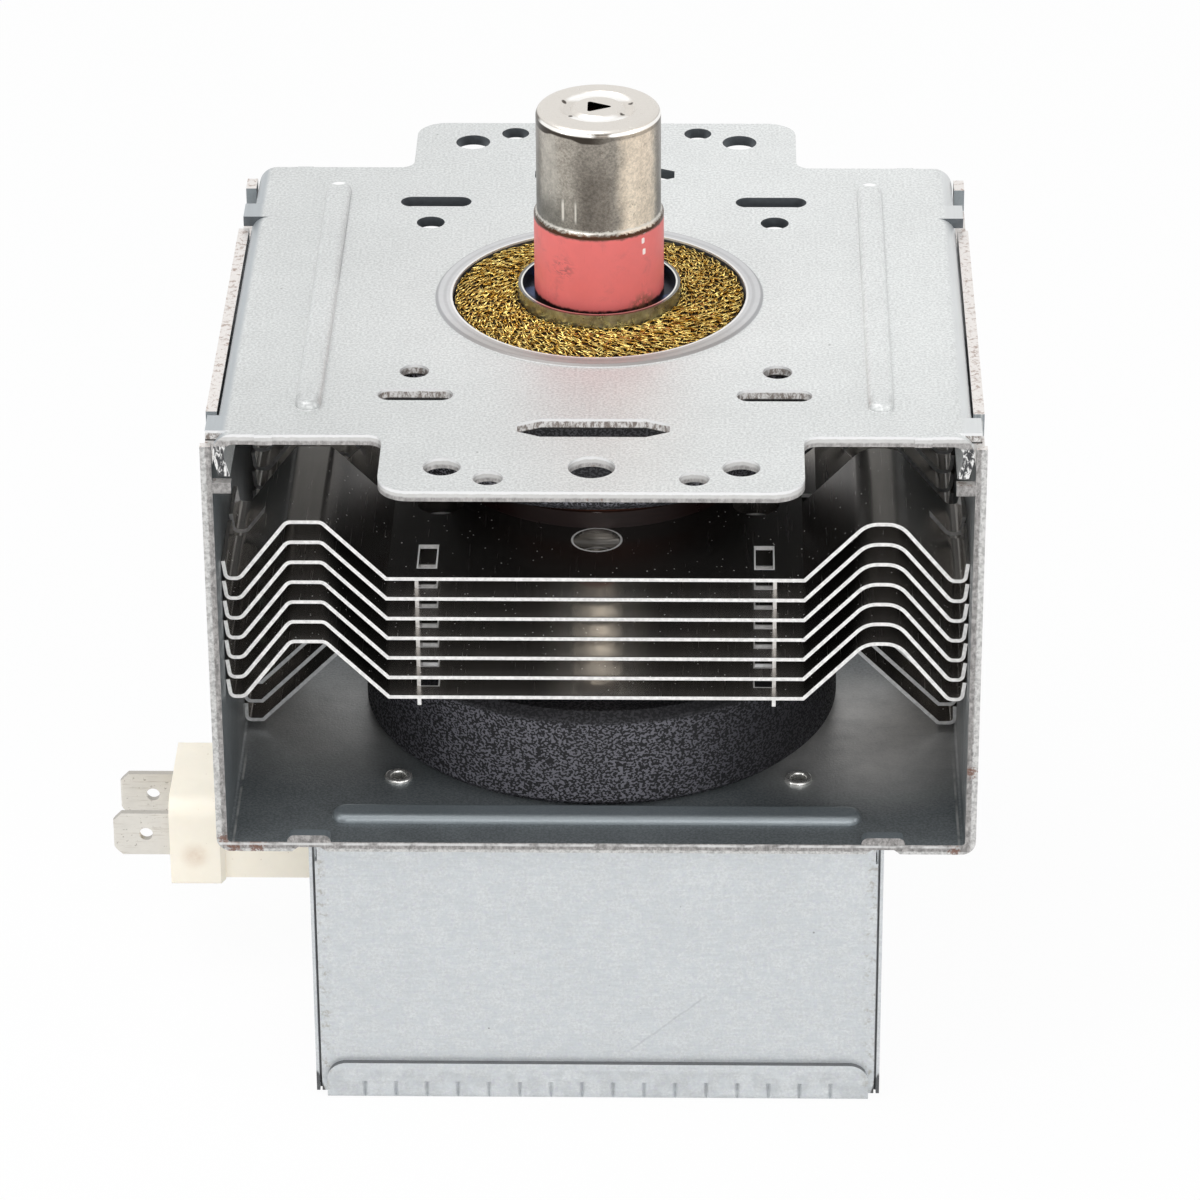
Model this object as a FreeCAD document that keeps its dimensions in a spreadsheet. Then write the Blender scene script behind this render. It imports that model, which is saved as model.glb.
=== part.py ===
import FreeCAD, Part
import math
import os
from types import SimpleNamespace

import Sketcher
from FreeCAD import Placement, Rotation, Vector

# Microwave-oven magnetron, lengths in millimetres. X runs along the row from ear hole to
# ear hole, Y points to the rear, Z is up, along the tube. The origin is the centre of the
# gasket hole on the top face of the mounting plate.

SIZES = {
    # mounting plate
    "plate_gauge": 1.2,
    "plate_fit": 0.19,
    "stub_margin": 4.5,
    "stub_length": 1.85,
    "stub_reach": 0.15,
    "ear_side_margin": 6.62,
    "ear_margin": 5.6,
    "ear_corner_radius": 3.4,
    "ear_root_radius": 1.6,
    "flange_depth": 5.0,
    "flange_slope": 0.55,
    "flange_bend_radius": 2.2,
    "tab_bite": 0.63,
    "tab_width": 3.6,
    "rib_margin": 9.78,
    "rib_width": 2.8,
    "rib_end_margin": 5.6,
    "rib_height": 0.9,
    "rib_round": 0.72,
    "gasket_hole_radius": 16.34,
    "gasket_ring_width": 1.9,
    "gasket_ring_height": 0.3,
    "gasket_ring_bevel": 0.27,
    "bolt_hole_radius": 2.0,
    "bolt_hole_x": 15.68,
    "bolt_hole_y": 41.9,
    "pilot_hole_radius": 1.6,
    "pilot_hole_x": 10.76,
    "pilot_hole_offset": 2.56,
    "centre_hole_radius": 2.5,
    "inner_hole_x": 19.64,
    "inner_hole_y": 19.25,
    "corner_slot_start": 15.2,
    "corner_slot_end": 23.34,
    "corner_slot_y": 24.96,
    "corner_slot_width": 2.7,
    "edge_slot_offset": 9.16,
    "edge_slot_half_length": 8.1,
    "edge_slot_straight": 5.6,
    "edge_slot_width": 4.25,
    "edge_slot_tip": 1.85,
    # yoke frame
    "frame_gauge": 1.2,
    "frame_inner_half": 40.57,
    "frame_top": 1.5,
    "frame_bend_radius": 0.4,
    "floor_depth": 50.25,
    "notch_depth": 2.6,
    "notch_margin_front": 0.9,
    "notch_length_front": 7.5,
    "notch_margin_rear": 2.8,
    "notch_length_rear": 11.1,
    "bead_half_length": 29.4,
    "bead_clearance": 0.25,
    "bead_width": 3.3,
    "bead_margin": 4.05,
    "bead_height": 0.9,
    "bead_round": 0.85,
    "bulge_inner": 29.2,
    "bulge_outer": 34.0,
    "bulge_depth": 1.3,
    "bulge_height": 0.85,
    "bulge_round": 0.8,
    "bulge_hollow": 0.55,
    "bulge_hollow_inset": 0.5,
    "bulge_hollow_slope": 0.7,
    "stop_size": 1.2,
    "stop_proud": 2.0,
    "stop_gap": 0.85,
    "eyelet_x": 22.45,
    "eyelet_gap": 8.4,
    "eyelet_radius": 1.3,
    "eyelet_rim": 0.28,
    "eyelet_round": 0.3,
    "eyelet_gauge": 0.45,
    # magnets
    "magnet_radius": 27.0,
    "magnet_bore": 10.5,
    "magnet_height": 12.0,
    "magnet_chamfer": 0.8,
    # cooling fins
    "fin_count": 7,
    "fin_gauge": 0.42,
    "fin_top_gap": 6.9,
    "fin_bottom_gap": 3.45,
    "fin_margin": 5.6,
    "fin_flat_half": 22.6,
    "slit_inner": 9.0,
    "slit_outer": 11.3,
    "peak_width": 3.7,
    "peak_shift": 0.49,
    "left_peak_width": 3.96,
    "left_peak_shift": 0.79,
    "peak_height": 6.9,
    "peak_round": 3.0,
    "left_peak_round": 1.2,
    "valley_width": 1.18,
    "valley_round": 0.8,
    "foot_round": 0.4,
    "foot_clearance": 0.04,
    "foot_flare": 0.25,
    "foot_gap": 0.1,
    "middle_bend_inset": 2.8,
    "middle_foot_width": 1.55,
    "middle_strip_clearance": 0.66,
    "fin_notch_depth": 3.65,
    "fin_notch_y": 18.0,
    "fin_notch_width": 1.5,
    "window_start": 17.4,
    "window_length": 1.9,
    "window_margin": 2.2,
    "window_depth": 5.2,
    "fin_hole_radius": 2.6,
    "fin_hole_web": 0.15,
    "side_hole_web": 1.0,
    "side_hole_angle": 33.54,
    "collar_gauge": 0.4,
    # vacuum tube
    "anode_radius": 17.0,
    "anode_wall": 2.0,
    "vane_count": 10,
    "vane_gauge": 1.8,
    "vane_tip": 4.5,
    "vane_height": 8.6,
    "braze_gap": 0.05,
    "strap_width": 0.8,
    "strap_height": 1.0,
    "strap_inner": 6.2,
    "strap_outer": 8.0,
    "pole_gauge": 1.6,
    "pole_bore": 4.4,
    "pole_dish": 3.0,
    "cup_radius": 9.0,
    "cup_gauge": 0.5,
    "cup_lip": 1.75,
    "cup_floor": 0.6,
    "antenna_ceramic_radius": 7.18,
    "antenna_ceramic_bore": 5.4,
    "antenna_ceramic_top": 10.0,
    "cap_inset": 0.31,
    "cap_wall": 0.45,
    "cap_top": 22.68,
    "cap_edge_radius": 0.75,
    "cap_crown": 0.12,
    "cap_rim_height": 0.35,
    "cap_ring_outer": 4.3,
    "cap_ring_inner": 2.6,
    "cap_ring_depth": 0.3,
    "cap_ring_slope": 0.45,
    "cap_hole_length": 2.85,
    "cap_hole_width": 2.95,
    "cap_hole_shift": 0.26,
    "cap_hole_round": 0.25,
    "exhaust_radius": 2.4,
    "exhaust_wall": 0.7,
    "exhaust_gap": 3.9,
    "exhaust_bottom": 6.0,
    "pinch_gauge": 0.9,
    "pinch_length": 2.6,
    "antenna_lead_radius": 0.75,
    "antenna_lead_place": 6.8,
    "antenna_lead_turn": 9.5,
    "lead_clearance": 0.4,
    "gasket_fit": 0.25,
    "gasket_crest": 0.5,
    "gasket_crest_place": 0.85,
    "gasket_inner_height": 0.3,
    "gasket_slope_place": 3.9,
    "gasket_slope_height": 0.22,
    "gasket_shoulder": 0.2,
    # cathode
    "filament_radius": 1.9,
    "filament_wire": 0.25,
    "filament_turns": 7,
    "filament_height": 9.1,
    "hat_radius": 3.4,
    "hat_gauge": 1.2,
    "lead_radius": 0.7,
    "side_lead_place": 2.6,
    "stem_length": 8.0,
    "stem_clearance": 0.3,
    # filter box
    "box_half_width": 31.75,
    "box_inset": 0.9,
    "box_gauge": 0.75,
    "box_height": 32.0,
    "box_slit": 0.25,
    "box_slit_inset": 0.38,
    "box_notch_width": 0.5,
    "box_notch_height": 1.8,
    "lid_gauge": 0.65,
    "lid_inset": 1.25,
    "lip_height": 4.7,
    "lip_corner_radius": 2.2,
    "crimp_count": 16,
    "crimp_pitch": 3.5,
    "crimp_height": 2.3,
    "crimp_width": 0.55,
    "crimp_depth": 0.3,
    # supply connector and chokes
    "connector_drop": 15.65,
    "connector_reach": 18.3,
    "connector_head": 6.3,
    "connector_half_depth": 7.3,
    "connector_half_height": 5.5,
    "connector_neck_inset": 0.7,
    "connector_back_bevel": 0.5,
    "connector_front_round": 2.2,
    "connector_edge_round": 0.6,
    "blade_y": 4.53,
    "blade_gauge": 0.8,
    "blade_height": 5.5,
    "blade_length": 6.75,
    "blade_bevel": 1.0,
    "blade_tip_bevel": 0.24,
    "blade_hole_radius": 0.8,
    "blade_hole_place": 2.95,
    "blade_tail_inset": 3.5,
    "tail_height": 2.2,
    "earth_plate_gauge": 0.8,
    "earth_plate_half_depth": 15.0,
    "earth_plate_half_height": 9.0,
    "choke_radius": 3.2,
    "choke_bore": 1.7,
    "choke_groove": 0.5,
    "choke_turns": 6,
    "core_clearance": 0.15,
    "core_overhang": 0.6,
}


class Size:
    """A length or a sum of lengths, held as its value and as the formula behind it."""

    def __init__(self, value, formula):
        self.value = value
        self.formula = formula

    def __add__(self, other):
        return Size(self.value + other.value, f"({self.formula} + {other.formula})")

    def __sub__(self, other):
        return Size(self.value - other.value, f"({self.formula} - {other.formula})")

    def __mul__(self, factor):
        return Size(self.value * factor, f"({self.formula} * {factor})")

    def __neg__(self):
        return self * -1


def filled_sheet(document):
    """Write every size into the sheet under its own name and read it back."""
    table = document.addObject("Spreadsheet::Sheet", "Sizes")
    for row, (name, value) in enumerate(SIZES.items(), start=1):
        table.set(f"A{row}", name)
        table.set(f"B{row}", str(value))
        table.setAlias(f"B{row}", name)
    document.recompute()
    read = {name: Size(float(table.get(name)), f"Sizes.{name}") for name in SIZES}
    return SimpleNamespace(**read)


doc = FreeCAD.newDocument("magnetron")
s = filled_sheet(doc)
ZERO = s.plate_gauge * 0
parts = []

# Levels and radii that several pieces share
plate_under = -s.plate_gauge
magnet_bottom = plate_under - s.magnet_height
floor_top = -s.floor_depth
floor_under = floor_top - s.frame_gauge
lower_magnet_top = floor_top + s.magnet_height
frame_outer_half = s.frame_inner_half + s.frame_gauge
plate_half_width = s.frame_inner_half - s.plate_fit
plate_half_depth = s.magnet_radius + s.bead_clearance + s.bead_width + s.bead_margin
bead_y = s.magnet_radius + s.bead_clearance + s.bead_width * 0.5
eyelet_y = bead_y - s.eyelet_gap
fin_top = magnet_bottom - s.fin_top_gap
fin_stack = fin_top - lower_magnet_top - s.fin_bottom_gap
fin_pitch = fin_stack * (1 / (s.fin_count.value - 1))
fin_foot_height = fin_pitch - s.fin_gauge - s.foot_gap
anode_middle = (magnet_bottom + lower_magnet_top) * 0.5
anode_bore = s.anode_radius - s.anode_wall
cup_inner = s.cup_radius - s.cup_gauge
stem_bore = s.side_lead_place + s.lead_radius + s.stem_clearance
box_bottom = floor_under - s.box_height
box_half_depth = plate_half_depth - s.box_inset
box_wall_inner = s.box_half_width - s.box_gauge
connector_middle = floor_under - s.connector_drop
connector_end = s.box_half_width + s.connector_reach
blade_tail = box_wall_inner - s.blade_tail_inset


# Helpers for bodies, sketches and features
def new_body(label):
    body = doc.addObject("PartDesign::Body", label)
    body.Label = label
    parts.append(body)
    return body


def origin_feature(body, role):
    return next(f for f in body.Origin.OriginFeatures if f.Role == role)


def new_sketch(body, name, role, level=None):
    sketch = body.newObject("Sketcher::SketchObject", f"{body.Name}_{name}")
    sketch.AttachmentSupport = [(origin_feature(body, role), "")]
    sketch.MapMode = "FlatFace"
    if level is not None:
        sketch.setExpression("AttachmentOffset.Base.z", level.formula)
    return sketch


def fix(sketch, kind, first, second, size):
    """Hold one distance of a sketch to a size."""
    index = sketch.addConstraint(Sketcher.Constraint(kind, *first, *second, size.value))
    sketch.setExpression(f"Constraints[{index}]", size.formula)


def fix_point(sketch, geometry, position, x, y):
    fix(sketch, "DistanceX", (-1, 1), (geometry, position), x)
    fix(sketch, "DistanceY", (-1, 1), (geometry, position), y)


def outline(sketch, corners):
    """Closed outline of straight lines through the corners."""
    first = sketch.GeometryCount
    count = len(corners)
    for i in range(count):
        x1, y1 = corners[i]
        x2, y2 = corners[(i + 1) % count]
        start = Vector(x1.value, y1.value, 0)
        end = Vector(x2.value, y2.value, 0)
        sketch.addGeometry(Part.LineSegment(start, end), False)
    for i in range(count):
        following = first + (i + 1) % count
        sketch.addConstraint(Sketcher.Constraint("Coincident", first + i, 2, following, 1))
        fix_point(sketch, first + i, 1, *corners[i])


def rectangle(sketch, x1, x2, y1, y2):
    outline(sketch, [(x1, y1), (x2, y1), (x2, y2), (x1, y2)])


def circle(sketch, x, y, radius):
    shape = Part.Circle(Vector(x.value, y.value, 0), Vector(0, 0, 1), radius.value)
    index = sketch.addGeometry(shape, False)
    fix_point(sketch, index, 3, x, y)
    fix(sketch, "Radius", (index,), (), radius)


def round_slot(sketch, start, end, middle, width):
    """Slot along the sketch's first axis, with half-round ends inside start and end."""
    radius = width * 0.5
    left = Vector((start + radius).value, middle.value, 0)
    right = Vector((end - radius).value, middle.value, 0)
    up = Vector(0, radius.value, 0)
    axis = Vector(0, 0, 1)
    left_end = Part.Circle(left, axis, radius.value)
    right_end = Part.Circle(right, axis, radius.value)
    quarter = math.pi / 2
    first = sketch.addGeometry(Part.ArcOfCircle(left_end, quarter, 3 * quarter), False)
    sketch.addGeometry(Part.LineSegment(left - up, right - up), False)
    sketch.addGeometry(Part.ArcOfCircle(right_end, -quarter, quarter), False)
    sketch.addGeometry(Part.LineSegment(right + up, left + up), False)
    for one, its_end, other, its_start in ((0, 2, 1, 1), (1, 2, 2, 1), (2, 2, 3, 1), (3, 2, 0, 1)):
        joint = Sketcher.Constraint("Tangent", first + one, its_end, first + other, its_start)
        sketch.addConstraint(joint)
    sketch.addConstraint(Sketcher.Constraint("Equal", first, first + 2))
    fix_point(sketch, first, 3, start + radius, middle)
    fix_point(sketch, first + 2, 3, end - radius, middle)
    fix(sketch, "Radius", (first,), (), radius)


def check_state(item):
    if "Invalid" in item.State or "Error" in item.State:
        raise ValueError(f"{item.Name} failed: {item.State}")


def feature(body, kind, sketch, length=None, both_ways=False, backwards=False):
    item = body.newObject(f"PartDesign::{kind}", f"{sketch.Name}_{kind.lower()}")
    item.Profile = sketch
    if length is not None:
        item.setExpression("Length", length.formula)
    item.Midplane = both_ways
    item.Reversed = backwards
    doc.recompute()
    check_state(item)
    return item


def pad(body, sketch, length, both_ways=False, backwards=False):
    return feature(body, "Pad", sketch, length, both_ways, backwards)


def pocket(body, sketch, length, both_ways=False, backwards=False):
    """Cut the sketch into the body, and make sure that something was cut."""
    before = body.Shape.Volume
    item = feature(body, "Pocket", sketch, length, both_ways, backwards)
    if not body.Shape.Volume < before:
        raise ValueError(f"{item.Name} cuts nothing")
    return item


def turned(label, corners):
    """Piece turned about Z, from corners given as radius and height."""
    body = new_body(label)
    sketch = new_sketch(body, "section", "XZ_Plane")
    outline(sketch, corners)
    item = body.newObject("PartDesign::Revolution", f"{sketch.Name}_turned")
    item.Profile = sketch
    item.ReferenceAxis = (sketch, ["V_Axis"])
    item.Angle = 360
    doc.recompute()
    check_state(item)
    return body


def dress_edges(body, kind, size, wanted):
    """Fillet or chamfer the edges for which wanted(middle, start, end) is true."""
    tip = body.Tip
    names = []
    for number, edge in enumerate(tip.Shape.Edges, start=1):
        low, high = edge.ParameterRange
        middle = edge.valueAt((low + high) / 2)
        if wanted(middle, edge.valueAt(low), edge.valueAt(high)):
            names.append(f"Edge{number}")
    if not names:
        raise ValueError(f"{body.Label} has no such edge")
    item = body.newObject(f"PartDesign::{kind}", f"{tip.Name}_{kind.lower()}")
    item.Base = (tip, names)
    item.setExpression("Radius" if kind == "Fillet" else "Size", size.formula)
    doc.recompute()
    check_state(item)


def near(one, other):
    return abs(one - other) < 0.01


def along(axis, start, end):
    """True for an edge that runs along one axis only."""
    step = end - start
    others = [abs(getattr(step, name)) for name in "xyz" if name != axis]
    return max(others) < 0.01 < abs(getattr(step, axis))


def feature_part(label, shape, level=None):
    """Piece made as one shape, placed at its level afterwards."""
    item = doc.addObject("Part::Feature", label)
    item.Label = label
    item.Shape = shape
    if level is not None:
        item.setExpression("Placement.Base.z", level.formula)
    parts.append(item)
    return item


# Mounting plate: flat sheet with two ears, side edges rolled down, pressed ribs and ring
def mounting_plate():
    body = new_body("mounting_plate")
    width = plate_half_width
    depth = plate_half_depth
    stub_end = width - s.stub_margin
    stub_start = stub_end - s.stub_length
    stub_tip = depth + s.stub_reach
    ear = s.bolt_hole_x + s.ear_side_margin
    tip = s.bolt_hole_y + s.ear_margin
    quadrant = [
        (width, depth),
        (stub_end, depth),
        (stub_end, stub_tip),
        (stub_start, stub_tip),
        (stub_start, depth),
        (ear, depth),
        (ear, tip),
    ]
    right_rear = quadrant
    left_rear = [(-x, y) for x, y in reversed(quadrant)]
    left_front = [(-x, -y) for x, y in quadrant]
    right_front = [(x, -y) for x, y in reversed(quadrant)]
    sheet = new_sketch(body, "sheet", "XY_Plane", plate_under)
    outline(sheet, right_rear + left_rear + left_front + right_front)
    pad(body, sheet, s.plate_gauge)
    sheet_flange(body)
    plate_corners(body, ear.value, tip.value, depth.value)
    plate_tabs(body)
    plate_ribs(body)
    plate_holes(body)


def sheet_flange(body):
    """Rolled side edges, leaning in a little towards their lower edge."""
    for side in (1, -1):
        outer = plate_half_width
        inner = outer - s.plate_gauge
        foot = outer - s.flange_slope
        bend_end = -s.flange_bend_radius - s.plate_gauge * 0.5
        corners = [
            (inner, -s.plate_gauge * 0.5),
            (outer, -s.plate_gauge * 0.5),
            (outer, bend_end),
            (foot, -s.flange_depth),
            (foot - s.plate_gauge, -s.flange_depth),
            (inner, bend_end),
        ]
        sketch = new_sketch(body, "left_flange" if side < 0 else "right_flange", "XZ_Plane")
        outline(sketch, [(x * side, z) for x, z in corners])
        pad(body, sketch, plate_half_depth * 2, both_ways=True)
    outer = plate_half_width.value
    inner = outer - s.plate_gauge.value

    def outer_corner(middle, start, end):
        return along("y", start, end) and near(abs(middle.x), outer) and near(middle.z, 0)

    def inner_corner(middle, start, end):
        at_corner = near(abs(middle.x), inner) and near(middle.z, plate_under.value)
        return along("y", start, end) and at_corner

    dress_edges(body, "Fillet", s.flange_bend_radius, outer_corner)
    dress_edges(body, "Fillet", s.flange_bend_radius - s.plate_gauge, inner_corner)


def plate_corners(body, ear, tip, root):
    def ear_tip(middle, start, end):
        return along("z", start, end) and near(abs(middle.x), ear) and near(abs(middle.y), tip)

    def ear_root(middle, start, end):
        return along("z", start, end) and near(abs(middle.x), ear) and near(abs(middle.y), root)

    dress_edges(body, "Fillet", s.ear_corner_radius, ear_tip)
    dress_edges(body, "Fillet", s.ear_root_radius, ear_root)


def plate_tabs(body):
    """Flat tabs that reach into the notches of the frame's walls."""
    sketch = new_sketch(body, "tabs", "XY_Plane", plate_under)
    inner = plate_half_width - s.flange_bend_radius
    reach = s.frame_inner_half + s.tab_bite
    front = s.notch_margin_front - plate_half_depth
    rear = plate_half_depth - s.notch_margin_rear - s.notch_length_rear
    for start in (front, rear):
        rectangle(sketch, inner, reach, start, start + s.tab_width)
        rectangle(sketch, -reach, -inner, start, start + s.tab_width)
    pad(body, sketch, s.plate_gauge)


def plate_ribs(body):
    """Two pressed ribs along Y, raised above the sheet, and the raised ring of the hole."""
    ribs = new_sketch(body, "ribs", "XY_Plane")
    ribs.AttachmentOffset = Placement(Vector(), Rotation(Vector(0, 0, 1), 90))
    end = plate_half_depth - s.rib_end_margin
    place = plate_half_width - s.rib_margin
    for side in (1, -1):
        round_slot(ribs, -end, end, place * side, s.rib_width)
    pad(body, ribs, s.rib_height)

    def crest(middle, start, end):
        return near(middle.z, s.rib_height.value)

    dress_edges(body, "Fillet", s.rib_round, crest)
    grooves = new_sketch(body, "rib_grooves", "XY_Plane", plate_under)
    groove = (s.rib_width - s.plate_gauge) * 0.5
    groove_end = end - s.rib_width * 0.5
    for side in (1, -1):
        middle = place * side
        rectangle(grooves, middle - groove, middle + groove, -groove_end, groove_end)
    pocket(body, grooves, s.rib_height, backwards=True)
    ring = new_sketch(body, "ring", "XY_Plane")
    circle(ring, ZERO, ZERO, s.gasket_hole_radius + s.gasket_ring_width)
    pad(body, ring, s.gasket_ring_height)

    def ring_edge(middle, start, end):
        return near(middle.z, s.gasket_ring_height.value) and near(start.z, middle.z)

    dress_edges(body, "Chamfer", s.gasket_ring_bevel, ring_edge)


def plate_holes(body):
    holes = new_sketch(body, "holes", "XY_Plane", s.rib_height)
    circle(holes, ZERO, ZERO, s.gasket_hole_radius)
    pilot_hole_y = s.bolt_hole_y + s.pilot_hole_offset
    for side in (1, -1):
        circle(holes, ZERO, s.bolt_hole_y * side, s.centre_hole_radius)
        edge_slot(holes, (s.bolt_hole_y - s.edge_slot_offset) * side)
        for end in (1, -1):
            circle(holes, s.bolt_hole_x * end, s.bolt_hole_y * side, s.bolt_hole_radius)
            circle(holes, s.pilot_hole_x * end, pilot_hole_y * side, s.pilot_hole_radius)
            circle(holes, s.inner_hole_x * end, s.inner_hole_y * side, s.pilot_hole_radius)
        middle = s.corner_slot_y * side
        width = s.corner_slot_width
        round_slot(holes, s.corner_slot_start, s.corner_slot_end, middle, width)
        round_slot(holes, -s.corner_slot_end, -s.corner_slot_start, middle, width)
    pocket(body, holes, s.plate_gauge + s.rib_height)


def edge_slot(sketch, middle):
    """Eight-cornered slot near the front or rear edge."""
    end = s.edge_slot_half_length
    straight = s.edge_slot_straight
    side = s.edge_slot_width * 0.5
    tip = s.edge_slot_tip * 0.5
    half = [(end, tip), (straight, side), (-straight, side), (-end, tip)]
    upper = [(x, middle + y) for x, y in half]
    lower = [(x, middle - y) for x, y in reversed(half)]
    outline(sketch, upper + lower)


# Yoke frame: one strip of sheet bent to a U, with notched walls and a beaded floor
def yoke_frame():
    body = new_body("yoke_frame")
    outer = frame_outer_half
    inner = s.frame_inner_half
    top = -s.frame_top
    section = new_sketch(body, "section", "XZ_Plane")
    right = [(outer, floor_under), (outer, top), (inner, top), (inner, floor_top)]
    outline(section, right + [(-x, z) for x, z in reversed(right)])
    pad(body, section, plate_half_depth * 2, both_ways=True)
    outer_radius = s.frame_bend_radius + s.frame_gauge

    def outer_bend(middle, start, end):
        at_corner = near(abs(middle.x), outer.value) and near(middle.z, floor_under.value)
        return along("y", start, end) and at_corner

    def inner_bend(middle, start, end):
        at_corner = near(abs(middle.x), inner.value) and near(middle.z, floor_top.value)
        return along("y", start, end) and at_corner

    dress_edges(body, "Fillet", outer_radius, outer_bend)
    dress_edges(body, "Fillet", s.frame_bend_radius, inner_bend)
    notches = new_sketch(body, "notches", "YZ_Plane")
    front = s.notch_margin_front - plate_half_depth
    rear = plate_half_depth - s.notch_margin_rear
    rectangle(notches, front, front + s.notch_length_front, top - s.notch_depth, top)
    rectangle(notches, rear - s.notch_length_rear, rear, top - s.notch_depth, top)
    pocket(body, notches, outer * 2, both_ways=True)
    frame_floor(body)


def frame_floor(body):
    beads = new_sketch(body, "beads", "XY_Plane", floor_top)
    for side in (1, -1):
        length = s.bead_half_length
        round_slot(beads, -length, length, bead_y * side, s.bead_width)
    pad(body, beads, s.bead_height)
    crest_level = (floor_top + s.bead_height).value

    def crest(middle, start, end):
        return near(middle.z, crest_level) and near(start.z, crest_level)

    dress_edges(body, "Fillet", s.bead_round, crest)
    bulges = new_sketch(body, "bulges", "XY_Plane", floor_top)
    for side in (1, -1):
        front = -plate_half_depth
        inner = s.bulge_inner * side
        outer = s.bulge_outer * side
        low, high = (inner, outer) if side > 0 else (outer, inner)
        rectangle(bulges, low, high, front, front + s.bulge_depth)
    pad(body, bulges, s.bulge_height)
    bulge_level = (floor_top + s.bulge_height).value

    def bulge_end(middle, start, end):
        at_front = middle.y < -plate_half_depth.value + s.bulge_depth.value
        return along("y", start, end) and near(middle.z, bulge_level) and at_front

    dress_edges(body, "Fillet", s.bulge_round, bulge_end)
    bulge_hollows(body)
    stops = new_sketch(body, "stops", "XZ_Plane", plate_half_depth)
    reach = s.frame_inner_half - s.stop_proud
    top = -s.flange_depth - s.stop_gap
    bottom = top - s.stop_size
    rectangle(stops, reach, s.frame_inner_half, bottom, top)
    rectangle(stops, -s.frame_inner_half, -reach, bottom, top)
    pad(body, stops, s.stop_size, backwards=True)
    holes = new_sketch(body, "holes", "XY_Plane", floor_top)
    circle(holes, ZERO, ZERO, s.cup_radius + s.frame_gauge * 0.5)
    for x in (s.eyelet_x, -s.eyelet_x):
        for y in (eyelet_y, -eyelet_y):
            circle(holes, x, y, s.eyelet_radius)
    pocket(body, holes, s.frame_gauge)


def bulge_hollows(body):
    """Hollows that the bulges leave in the underside of the floor's front edge."""
    hollows = new_sketch(body, "bulge_hollows", "XZ_Plane", plate_half_depth)
    low = s.bulge_inner + s.bulge_hollow_inset
    high = s.bulge_outer - s.bulge_hollow_inset
    crest = floor_under + s.bulge_hollow
    slope = s.bulge_hollow_slope
    half = [(low, floor_under), (low + slope, crest), (high - slope, crest), (high, floor_under)]
    for side in (1, -1):
        outline(hollows, [(x * side, z) for x, z in half])
    pocket(body, hollows, s.bulge_depth)


# Ring magnets
def magnet(label, bottom):
    body = new_body(label)
    ring = new_sketch(body, "ring", "XY_Plane", bottom)
    circle(ring, ZERO, ZERO, s.magnet_radius)
    circle(ring, ZERO, ZERO, s.magnet_bore)
    pad(body, ring, s.magnet_height)

    def rim(middle, start, end):
        return near(math.hypot(middle.x, middle.y), s.magnet_radius.value) and near(start.z, end.z)

    dress_edges(body, "Chamfer", s.magnet_chamfer, rim)


# Cooling fins: one thin sheet folded into outer strips with a peak and a deep middle strip
def bent_path(corners):
    """Open wire through corners given as x, z and the radius of the bend there."""
    edges = []
    last = None
    for index, (x, z, radius) in enumerate(corners):
        here = Vector(x, 0, z)
        if radius == 0:
            start, end = here, here
        else:
            before = Vector(corners[index - 1][0], 0, corners[index - 1][1])
            after = Vector(corners[index + 1][0], 0, corners[index + 1][1])
            back = (before - here).normalize()
            on = (after - here).normalize()
            half = back.getAngle(on) / 2
            reach = radius / math.tan(half)
            start = here + back * reach
            end = here + on * reach
            inward = (back + on).normalize()
            middle = here + inward * (radius / math.sin(half) - radius)
        if last is not None:
            edges.append(Part.makeLine(last, start))
        if radius:
            edges.append(Part.Arc(start, middle, end).toShape())
        last = end
    return Part.Wire(edges)


def folded_strip(path, front, back):
    """Sheet of the fin's gauge below the path, from y = front to y = back."""
    section = path.makeOffset2D(-s.fin_gauge.value, 2, True, True)
    section.translate(Vector(0, front, 0))
    return section.extrude(Vector(0, back - front, 0))


def mirrored_corners(right, left):
    """Corners of a path whose left half has the right one's shape and its own bends."""
    return [(-x, z, radius) for x, z, radius in reversed(left)] + right


def box_shape(x1, x2, y1, y2, z1, z2):
    return Part.makeBox(x2 - x1, y2 - y1, z2 - z1, Vector(x1, y1, z1))


def outer_strip(flat, foot, peak_width, peak_shift, peak_round):
    """Right half of an outer strip's path: flat, peak, valley and a foot that leans out."""
    heel = foot - s.foot_flare.value
    valley = heel - s.valley_width.value
    peak_middle = (flat + valley) / 2 + peak_shift.value
    half_peak = peak_width.value / 2
    peak = s.peak_height.value
    return [
        (flat, 0, 0),
        (peak_middle - half_peak, peak, peak_round.value),
        (peak_middle + half_peak, peak, peak_round.value),
        (valley, 0, s.valley_round.value),
        (heel, 0, s.foot_round.value),
        (foot, fin_foot_height.value, 0),
    ]


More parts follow.
